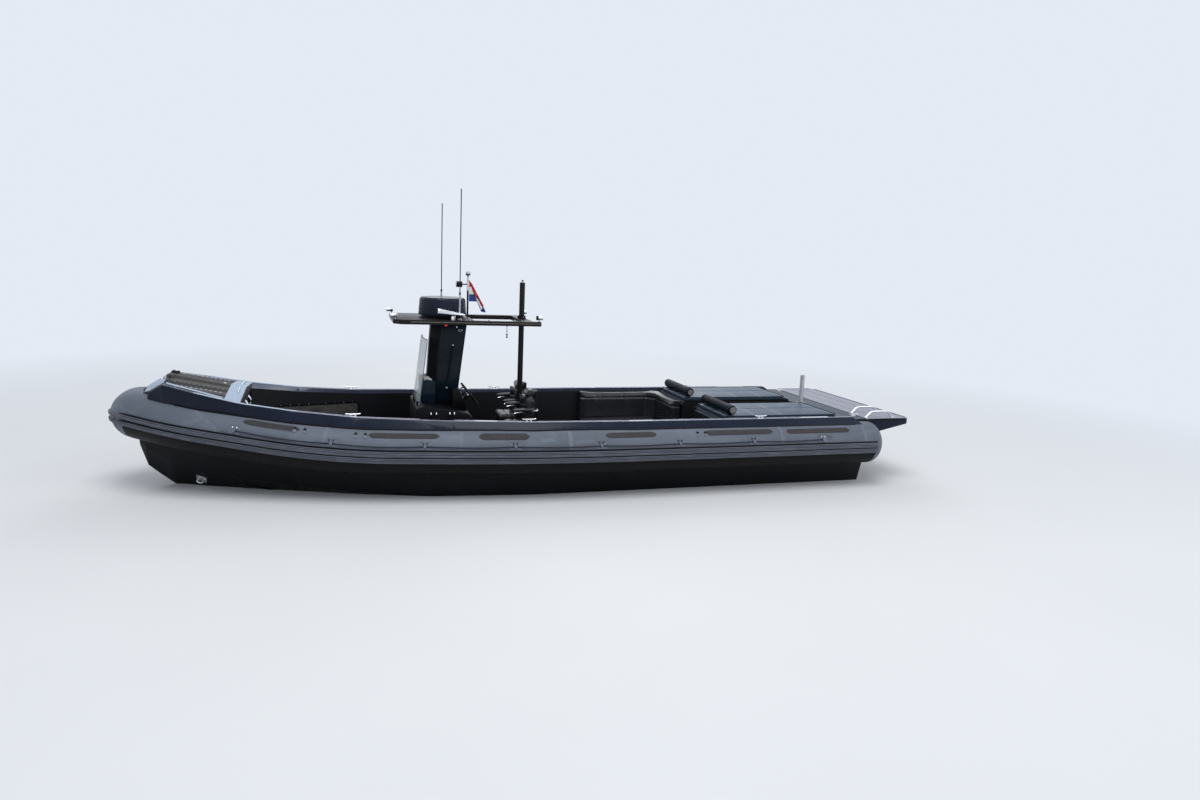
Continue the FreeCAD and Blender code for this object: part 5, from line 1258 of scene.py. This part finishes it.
class BOAT_OT_helm_instruments(Step, bpy.types.Operator):
    """Dials, screens, switches and the stitched wheel at the helm"""
    bl_idname = "boat.helm_instruments"
    bl_label = "Helm instruments"

    def build(self):
        foot = Vector((0.958, 0, 0.90))
        up = (Vector((1.050, 0, 1.18)) - foot).normalized()
        out = Vector((-up.z, 0, up.x))

        def on_face(y, rise):
            return foot + up * rise + PORT * y

        def turned(angle):
            return up * math.cos(angle) + PORT * math.sin(angle)

        bezels, glass, marks, keys = [], [], [], []
        for y, rise, radius in ((0.272, 0.235, 0.030), (0.272, 0.165, 0.030), (0.205, 0.235, 0.022),
                                (-0.13, 0.262, 0.018), (0.13, 0.262, 0.018)):
            centre = on_face(y, rise)
            bezels.append(ringed(centre, out, radius, 0.004))
            glass.append(disc(centre, out, radius - 0.003, 0.002))
            for step in range(9):
                way = turned(math.radians(-120 + 30 * step))
                spot = centre + way * radius * 0.74 + out * 0.0022
                marks.append(rod(spot - way * 0.0025, spot + way * 0.0025, 0.0009, 6))
            pin = centre + out * 0.003
            marks.append(rod(pin, pin + turned(-0.9 + rise) * radius * 0.62, 0.0012, 6))
        centre = on_face(0, 0.215)
        keys.append(placed(boxed((-0.12, -0.055, 0), (0.12, 0.055, 0.016), 0.005), centre, up))
        glass.append(placed(boxed((-0.105, -0.043, 0.0155), (0.105, 0.043, 0.0172), 0.0006), centre, up))
        for step in range(6):
            keys.append(placed(boxed((-0.008, -0.013, 0), (0.008, 0.013, 0.006), 0.002),
                               on_face(0.17 + 0.024 * step, 0.095), up))
        settled(bezels, "dial_bezels", "chrome")
        settled(glass, "dial_faces", "dial")
        settled(marks, "dial_marks", "white")
        settled(keys, "helm_keys", "grip")
        above = WHEEL_AXIS.cross(PORT).normalized()
        grips = []
        for start in (20, 140, 260):
            turns = [math.radians(start + 10 * step) for step in range(9)]
            grips.append(bent_bar([WHEEL_CENTRE + (PORT * math.cos(turn) + above * math.sin(turn)) * 0.165
                                   for turn in turns], 0.0145, sides=4))
        settled(grips, "wheel_grips", "grip", "steering_wheel")
        settled([disc(WHEEL_CENTRE, WHEEL_AXIS, 0.030, 0.006, 32, 0.002),
                 disc(WHEEL_CENTRE + WHEEL_AXIS * 0.005, WHEEL_AXIS, 0.018, 0.004, 32)],
                "wheel_boss", "chrome", "steering_wheel")


class BOAT_OT_screen_trim(Step, bpy.types.Operator):
    """Edging and clamps of the windscreen"""
    bl_idname = "boat.screen_trim"
    bl_label = "Windscreen trim"

    def build(self):
        def fore(z):
            return 1.592 - (z - 0.90) * 0.115
        half = [(fore(z) - 0.034, 0.3285, z) for z in (0.985, 1.3905, 1.77167)]
        top = 1.7985
        half += [(fore(top) - back, y, top) for back, y in ((0.030, 0.320), (0.010, 0.215), (0.004, 0.10))]
        # The edging takes the lighter rail rubber, the same one that is painted highlight on the rail beads
        settled(bent_bar(both_ways(half), 0.0045, sides=2), "screen_edging", "pale_rubber_and_highlight")
        clamps = []
        for x, y in ((1.572, -0.27), (1.585, -0.09), (1.585, 0.09), (1.572, 0.27)):
            clamps.append(boxed((x - 0.022, y - 0.018, 0.955), (x + 0.010, y + 0.018, 1.020), 0.003))
        settled(clamps, "screen_clamps", "black")


class BOAT_OT_roof_trim(Step, bpy.types.Operator):
    """A pale bar round the roof's edge as painted highlight, lamps, aerial ferrules and fittings on and under
    the roof
    """
    bl_idname = "boat.roof_trim"
    bl_label = "Roof trim"

    def build(self):
        half = [(x, y, ROOF_EDGE) for x, y in ((0.08, 0.521), (0.6, 0.521), (1.2, 0.521), (1.77, 0.521),
                                               (1.872, 0.42), (1.872, 0.2))]
        # A pale bar round the roof's edge: painted highlight
        settled(bent_bar(both_ways(half), 0.009, sides=2), "roof_edge_painted_highlight", "roof_painted_highlight")
        lens, bright, black = [], [], []
        for x, y, way in ((1.905, 0.445, 1), (1.905, -0.445, 1), (0.050, 0.475, -1), (0.050, -0.475, -1)):
            centre, ahead = Vector((x, y, 2.103)), FORE * way
            lens.append(disc(centre - ahead * 0.002, ahead, 0.0225, 0.004))
            bright.append(ringed(centre, ahead, 0.0245, 0.003))
            black += [rod(centre - ahead * back, centre - ahead * (back + 0.005), 0.0285, 20)
                      for back in (0.045, 0.057, 0.069)]
        for x, y in ((1.60, 0.26), (1.60, -0.26), (0.95, 0.33), (0.95, -0.33)):
            black.append(disc((x, y, 2.0005), -UP, 0.045, 0.008))
            lens.append(disc((x, y, 1.9925), -UP, 0.034, 0.002))
        settled(ellipsoid((1.169, 0.470, 2.078), (0.020, 0.020, 0.026)), "roof_dome_lamp", "clear_lens")
        aerials = ((1.215, -0.350), (1.070, 0.350))
        screws = ((1.000, 0.42), (1.06, 0.44), (0.72, 0.47), (0.40, 0.475), (0.31, 0.475))
        beside_mast = [(MAST[0], side * 0.10) for side in (-1, 1)]
        bright += posts([(1.169, 0.470)], ROOF_TOP, 2.062, 0.024, 24, edge=0.002)
        bright += posts(aerials, 2.108, 2.36, 0.0125, 20, 0.0115)
        bright += posts(aerials, ROOF_TOP, 2.070, 0.030, 24, edge=0.002)
        bright += posts(screws, ROOF_TOP, 2.068, 0.012, 12, edge=0.001)
        bright += posts(beside_mast, 2.075, 2.082, 0.010, 6)
        bright += posts([MAST], 2.520, 2.534, 0.022, 20, edge=0.002)
        bright.append(ringed((*POLE, 2.607), UP, 0.0285, 0.0022))
        bright.append(ringed((1.0545, POLE[1], 2.470), FORE, 0.035, 0.003))
        lens.append(disc((1.0525, POLE[1], 2.470), FORE, 0.033, 0.003))
        black += posts(aerials, 2.36, 2.39, 0.014, 16, 0.009)
        black += posts([MAST], ROOF_TOP, 2.095, 0.052, 32, edge=0.004)
        black += posts([MAST], 1.962, 2.001, 0.052, 32, edge=0.004)
        black += [block((x, y, 2.0645), (0.030, 0.030, 0.0105), 0.004) for x, y in beside_mast]
        for z in (1.850, 1.880):
            black += posts([(0.497, 0.475)], z, z + 0.014, 0.0125, 16, edge=0.002)
        settled(lens, "lamp_lenses", "clear_lens")
        settled(bright, "roof_brightwork", "chrome")
        settled(black, "roof_fixings", "black")
        settled(posts([POLE], 2.608, 2.629, 0.0308, 28, edge=0.004) + posts([POLE], 2.40, 2.58, 0.0128, 16),
                "pole_head", "white")
        settled(disc((RADOME_X, 0, 2.0555), UP, 0.262, 0.028, 64, 0.003), "radome_foot", "black")
        turns = [math.tau * step / 12 for step in range(12)]
        settled(posts([(RADOME_X + 0.225 * math.cos(turn), 0.225 * math.sin(turn)) for turn in turns],
                      ROOF_TOP, 2.0865, 0.009, 6), "radome_bolts", "steel")
        settled(ringed((RADOME_X, 0, 2.165), UP, 0.2942, 0.0022), "radome_seam", "black")


class BOAT_OT_flag(Step, bpy.types.Operator):
    """The flag that hangs from the pole, in three bands"""
    bl_idname = "boat.flag"
    bl_label = "Flag"

    def build(self):
        width, height = sizes().flag_length, sizes().flag_height
        nothing_selected()
        bpy.ops.mesh.primitive_grid_add(x_subdivisions=54, y_subdivisions=36, size=1)
        piece = bpy.context.object
        heights, held = [], []
        for vertex in piece.data.vertices:
            out, up = vertex.co.x + 0.5, vertex.co.y + 0.5
            heights.append(up)
            if out < 0.01:
                held.append(vertex.index)
            sway = 0.016 * math.sin(16 * out + 4 * up) * out
            vertex.co = Vector((0.890 - width * out * 0.97, POLE[1] + sway, 2.532 - height * (1 - up)))
        piece.vertex_groups.new(name="hoist").add(held, 1.0, "REPLACE")
        piece.data.attributes.new("band", "FLOAT", "POINT")
        piece.data.attributes["band"].data.foreach_set("value", heights)
        scene = bpy.context.scene
        level = scene.gravity.copy()
        # A light wind from ahead, as a slanted pull
        scene.gravity = (-4.2, 0.3, -8.8)
        cloth = clothed(piece, vertex_group_mass="hoist", quality=6, mass=0.12, air_damping=3.0,
                        tension_stiffness=18, bending_stiffness=0.08)
        cloth.collision_settings.distance_min = 0.004
        roof = boxed((0.07, -0.52, 1.90), (1.87, 0.52, 2.058), 0.0)
        roof.modifiers.new("Collision", "COLLISION")
        run_cloth(piece, cloth, 70)
        scene.gravity = level
        bpy.data.objects.remove(roof)
        with_modifier(piece, "SMOOTH", factor=0.5, iterations=2)
        with_modifier(piece, "SOLIDIFY", thickness=0.0012, offset=0.0)
        piece.vertex_groups.clear()
        smooth(piece, 60)
        settled(piece, "flag_cloth", "flag", "boat", ("flag",))
        settled([ringed((*POLE, z), UP, 0.0145, 0.0028) for z in (2.53, 2.395, 2.26)], "flag_clips", "chrome")


class BOAT_OT_upholstery(Step, bpy.types.Operator):
    """Cushions of the lounge, sun pads and helm seats"""
    bl_idname = "boat.upholstery"
    bl_label = "Upholstery"

    def build(self):
        across = [(0, x, UP) for x in (-3.52, -3.10, -2.69)]
        for side, way in SIDES:
            cushion_of("sun_pad_" + side, "sun_pad_" + side + "_cloth", "vinyl", 0.018, 0.012, 0.006,
                       across + [(1, way * 0.70, UP)])
            bolster = cushion_of("headrest_" + side, "headrest_" + side + "_cloth", "bolster", 0.014, 0.010,
                                 0.006, [(1, way * 0.30, UP), (1, way * 1.065, UP)])
            for vertex in bolster.data.vertices:
                vertex.co.x = BOLSTER_X + (vertex.co.x - BOLSTER_X) * BOLSTER_SLIM
                vertex.co.z = BOLSTER_FOOT + (vertex.co.z - BOLSTER_FOOT) * BOLSTER_SLIM
            settled([disc((BOLSTER_X, way * y, BOLSTER_FOOT + 0.085 * BOLSTER_SLIM), PORT * way * out,
                          0.042, 0.006, 40, 0.003) for y, out in ((0.2415, -1), (1.1235, 1))],
                    "bolster_ends_" + side, "pale_vinyl", NODE_BODY["headrest_" + side])
        cushion_of("bench_seats", "bench_seat_cloth", "lounge", 0.018, 0.022, 0.010,
                   [(0, -1.62, UP), (0, -1.26, UP), (1, -0.52, UP), (1, -0.30, UP)])
        cushion_of("bench_backs", "bench_back_cloth", "lounge", 0.0195, 0.022, 0.010,
                   [(0, -1.62, PORT), (0, -1.26, PORT), (0, -1.62, -PORT), (0, -1.26, -PORT),
                    (1, -0.55, FORE), (2, 0.80, PORT), (2, 0.80, FORE), (2, 0.80, -PORT)])
        cushion_of("helm_seat_cushions", "helm_seat_cloth", "lounge", 0.012, 0.014, 0.008,
                   [(0, 0.20, UP), (0, 0.33, UP)])
        cushion_of("helm_seat_backs", "helm_back_cloth", "lounge", 0.0125, 0.012, 0.005,
                   [(2, 0.85, FORE), (2, 0.96, FORE)])


class BOAT_OT_seat_trim(Step, bpy.types.Operator):
    """Piping on the sun pads, armrests, footrests and the seats' small metal"""
    bl_idname = "boat.seat_trim"
    bl_label = "Seat trim"

    def build(self):
        for side, way in SIDES:
            near, far = sorted((way * 0.233, way * 1.132))
            settled([bent_bar(rounded_ring((-3.924, near), (-2.275, far), z, 0.03), sizes().piping * 0.8,
                              sides=2, cyclic=True) for z in (0.886, 0.934)],
                    "pad_piping_" + side, "black", NODE_BODY["sun_pad_" + side])
        metal, arms = [], []
        for seat_y in (-0.33, 0.33):
            for side in (-1, 1):
                y = seat_y + side * 0.232
                arm_y = y + side * 0.006
                rest_y = seat_y + side * 0.17
                metal.append(bent_bar([(0.085, seat_y + side * 0.10, 0.93), (0.08, y, 0.93),
                                       (0.14, arm_y, 0.93), (0.30, arm_y, 0.925), (0.40, arm_y, 0.90)],
                                      0.011, sides=3))
                arms.append(ellipsoid((0.275, arm_y, 0.945), (0.150, 0.030, 0.024)))
                metal.append(bent_bar([(0.42, rest_y, 0.30), (0.46, rest_y, 0.26), (0.46, rest_y, 0.18),
                                       (0.42, rest_y, 0.14)], 0.010, sides=3))
            metal.append(rod((0.455, seat_y - 0.17, 0.22), (0.455, seat_y + 0.17, 0.22), 0.011, 16))
            metal += [ringed((0.26, seat_y, 0.42 + 0.035 * ring), UP, 0.050, 0.006) for ring in range(5)]
            metal += posts([(x, seat_y + y) for x in (0.13, 0.41) for y in (-0.13, 0.13)],
                           0.379, 0.388, 0.010, 6)
        settled(metal, "seat_metal", "chrome")
        settled(arms, "seat_arms", "lounge")


class BOAT_OT_wall_pockets(Step, bpy.types.Operator):
    """Loose cloth panels in the cockpit wall's bolted rims"""
    bl_idname = "boat.wall_pockets"
    bl_label = "Wall pockets"

    def build(self):
        bolts = []
        for name, side in SIDES:
            def place(u, v):
                start = (3.287 - 1.021 * u, 0, 0.486 + 0.308 * v)
                wall = struck("wall_pockets", start, PORT * side)[0] or struck("hull", start, PORT * side)[0]
                slack = math.sin(math.pi * u) * math.sin(math.pi * v)
                ripple = 0.006 * math.sin(19 * u + 4 * v) + 0.004 * math.sin(31 * u - 7 * v)
                return wall - PORT * side * (0.004 + slack * (0.012 + ripple))
            cloth = laid(place, 60, 22, 0.002, lambda point: PORT * -side)
            settled(cloth, "pocket_cloth_" + name, "pocket", "boat", ("wall_pockets",))
            for step in range(9):
                for z in (0.467, 0.813):
                    spot, normal = struck("wall_pocket_rims", (2.33 + 0.112 * step, 0, z), PORT * side)
                    if spot:
                        bolts.append(rod(spot - normal * 0.001, spot + normal * 0.004, 0.008, 12, edge=0.001))
        settled(bolts, "pocket_bolts", "chrome")


def tread_line(radius, top):
    """A pale line round an aft step"""
    def place(u, v):
        turn = math.radians(-4 - 82 * u)
        reach = radius - 0.012 * v
        return Vector((-2.235 + reach * math.cos(turn), 1.055 + reach * math.sin(turn), top + 0.0003))
    return laid(place, 26, 1, 0.0025)


class BOAT_OT_stern_trim(Step, bpy.types.Operator):
    """Edges, treads, strips and fittings of the steps, aft deck and platform"""
    bl_idname = "boat.stern_trim"
    bl_label = "Stern trim"

    def build(self):
        black = [boxed((-5.034, -1.16, 0.858), (-5.014, 1.16, 0.8845), 0.003),
                 boxed((-4.362, -1.20, PLATFORM_TOP), (-4.350, 1.20, 0.8835), 0.001)]
        for side in (-1, 1):
            black.append(block((-4.665, side * 1.2265, 0.8748), (0.295, 0.010, 0.0088), 0.002))
            black.append(block((-3.12, side * 0.2065, 0.886), (0.85, 0.006, 0.014)))
        for x in (-4.58, -4.80):
            black.append(boxed((x - 0.003, -1.14, 0.8797), (x + 0.003, 1.14, 0.8808), 0.0004))
        settled(black, "platform_edges", "black")
        for side, way in SIDES:
            strips = []
            for start, end in ((-2.60, -2.30), (-3.28, -2.86), (-3.90, -3.45)):
                for y, half, edge in ((way * 1.1405, 0.006, 0.002), (way * 0.2205, 0.004, 0.0015)):
                    strips.append(boxed((start, y - half, 0.8735), (end, y + half, 0.8785), edge))
            settled(strips, "lid_trims_" + side, "chrome", NODE_BODY["engine_lid_" + side])
        bright = [disc((x, y, PLATFORM_TOP), UP, 0.028, 0.005) for y in (0.80, 1.13) for x in (-4.40, -4.82)]
        bright.append(rod((-4.055, -0.055, 1.262), (-4.055, 0.055, 1.262), 0.009, 16, edge=0.002))
        bright += posts([(-4.055, 0)], 1.296, 1.3035, 0.036, 32, edge=0.003)
        bright += posts([(x, y) for x in (-4.105, -4.005) for y in (0.05, -0.05)], 0.891, 0.900, 0.009, 6,
                        edge=0.001)
        settled(bright, "stern_brightwork", "chrome")
        settled([tread_line(0.500 + 0.13 * (3 - index) - inset, 0.05 + 0.15 * (index + 1))
                 for index in range(4) for inset in (0.030, 0.070, 0.110)], "step_treads", "deck")


class BOAT_OT_drive_details(Step, bpy.types.Operator):
    """Bolts, plates, anodes and nuts of the drives, and the engines' caps"""
    bl_idname = "boat.drive_details"
    bl_label = "Drive details"

    def build(self):
        for side, way in SIDES:
            y = way * 0.52
            settled([rod((-4.394, y + out, z), (-4.406, y + out, z), 0.013, 6, edge=0.002)
                     for out, z in ((0.12, 0.16), (-0.12, 0.16), (0.12, -0.32), (-0.12, -0.32),
                                    (0.13, -0.08), (-0.13, -0.08))], "shield_bolts_" + side, "steel")
            leg = [boxed((-4.86, y - 0.03, -0.352), (-4.78, y + 0.03, -0.343), 0.003)]
            for out in (-0.056, 0.056):
                leg.append(block((-4.69, y + out, -0.20), (0.05, 0.004, 0.08), 0.003))
                leg += [rod((x, y + out - 0.006, -0.02), (x, y + out + 0.006, -0.02), 0.010, 6)
                        for x in (-4.66, -4.72, -4.78)]
            settled(leg, "leg_plates_" + side, "steel", NODE_BODY["drive_leg_" + side])
            settled(rod((-5.046, y, -0.62), (-5.052, y, -0.62), 0.030, 24, 0.024, edge=0.002),
                    "propeller_nut_" + side, "chrome", NODE_BODY["propeller_" + side])
            caps = posts([(x, y + 0.03 * way) for x in (-3.78, -3.56, -3.34, -3.12)], 0.599, 0.618, 0.06, 24,
                         edge=0.004)
            caps.append(boxed((-3.84, y - 0.17, 0.599), (-3.02, y + 0.17, 0.608), 0.004))
            settled(caps, "engine_caps_" + side, "black")


class BOAT_PT_panel(bpy.types.Panel):
    """Lists the boat's pieces, colours and sizes"""
    bl_label = "Boat"
    bl_idname = "BOAT_PT_panel"
    bl_space_type = "VIEW_3D"
    bl_region_type = "UI"
    bl_category = "Boat"

    def draw(self, context):
        for step in STEPS:
            self.layout.operator(step.bl_idname)
        for group in (context.scene.boat_colours, context.scene.boat_sizes):
            for name in group.__annotations__:
                self.layout.prop(group, name)


STEPS = (BOAT_OT_stage, BOAT_OT_frame_skins, BOAT_OT_collar_trim, BOAT_OT_rail_ridges, BOAT_OT_rope_fittings,
         BOAT_OT_gunwale_trim, BOAT_OT_foredeck_trim, BOAT_OT_console_fittings, BOAT_OT_helm_instruments,
         BOAT_OT_screen_trim, BOAT_OT_roof_trim, BOAT_OT_flag, BOAT_OT_upholstery, BOAT_OT_seat_trim,
         BOAT_OT_wall_pockets, BOAT_OT_stern_trim, BOAT_OT_drive_details)
CLASSES = (BoatColours, BoatSizes, *STEPS, BOAT_PT_panel)


def register():
    for item in CLASSES:
        bpy.utils.register_class(item)
    bpy.types.Scene.boat_colours = PointerProperty(type=BoatColours)
    bpy.types.Scene.boat_sizes = PointerProperty(type=BoatSizes)


def unregister():
    del bpy.types.Scene.boat_sizes
    del bpy.types.Scene.boat_colours
    for item in reversed(CLASSES):
        bpy.utils.unregister_class(item)


def main():
    register()
    for step in STEPS:
        group, name = step.bl_idname.split(".")
        if getattr(getattr(bpy.ops, group), name)() != {"FINISHED"}:
            raise RuntimeError(step.bl_label + " did not finish")


if __name__ == "__main__":
    main()
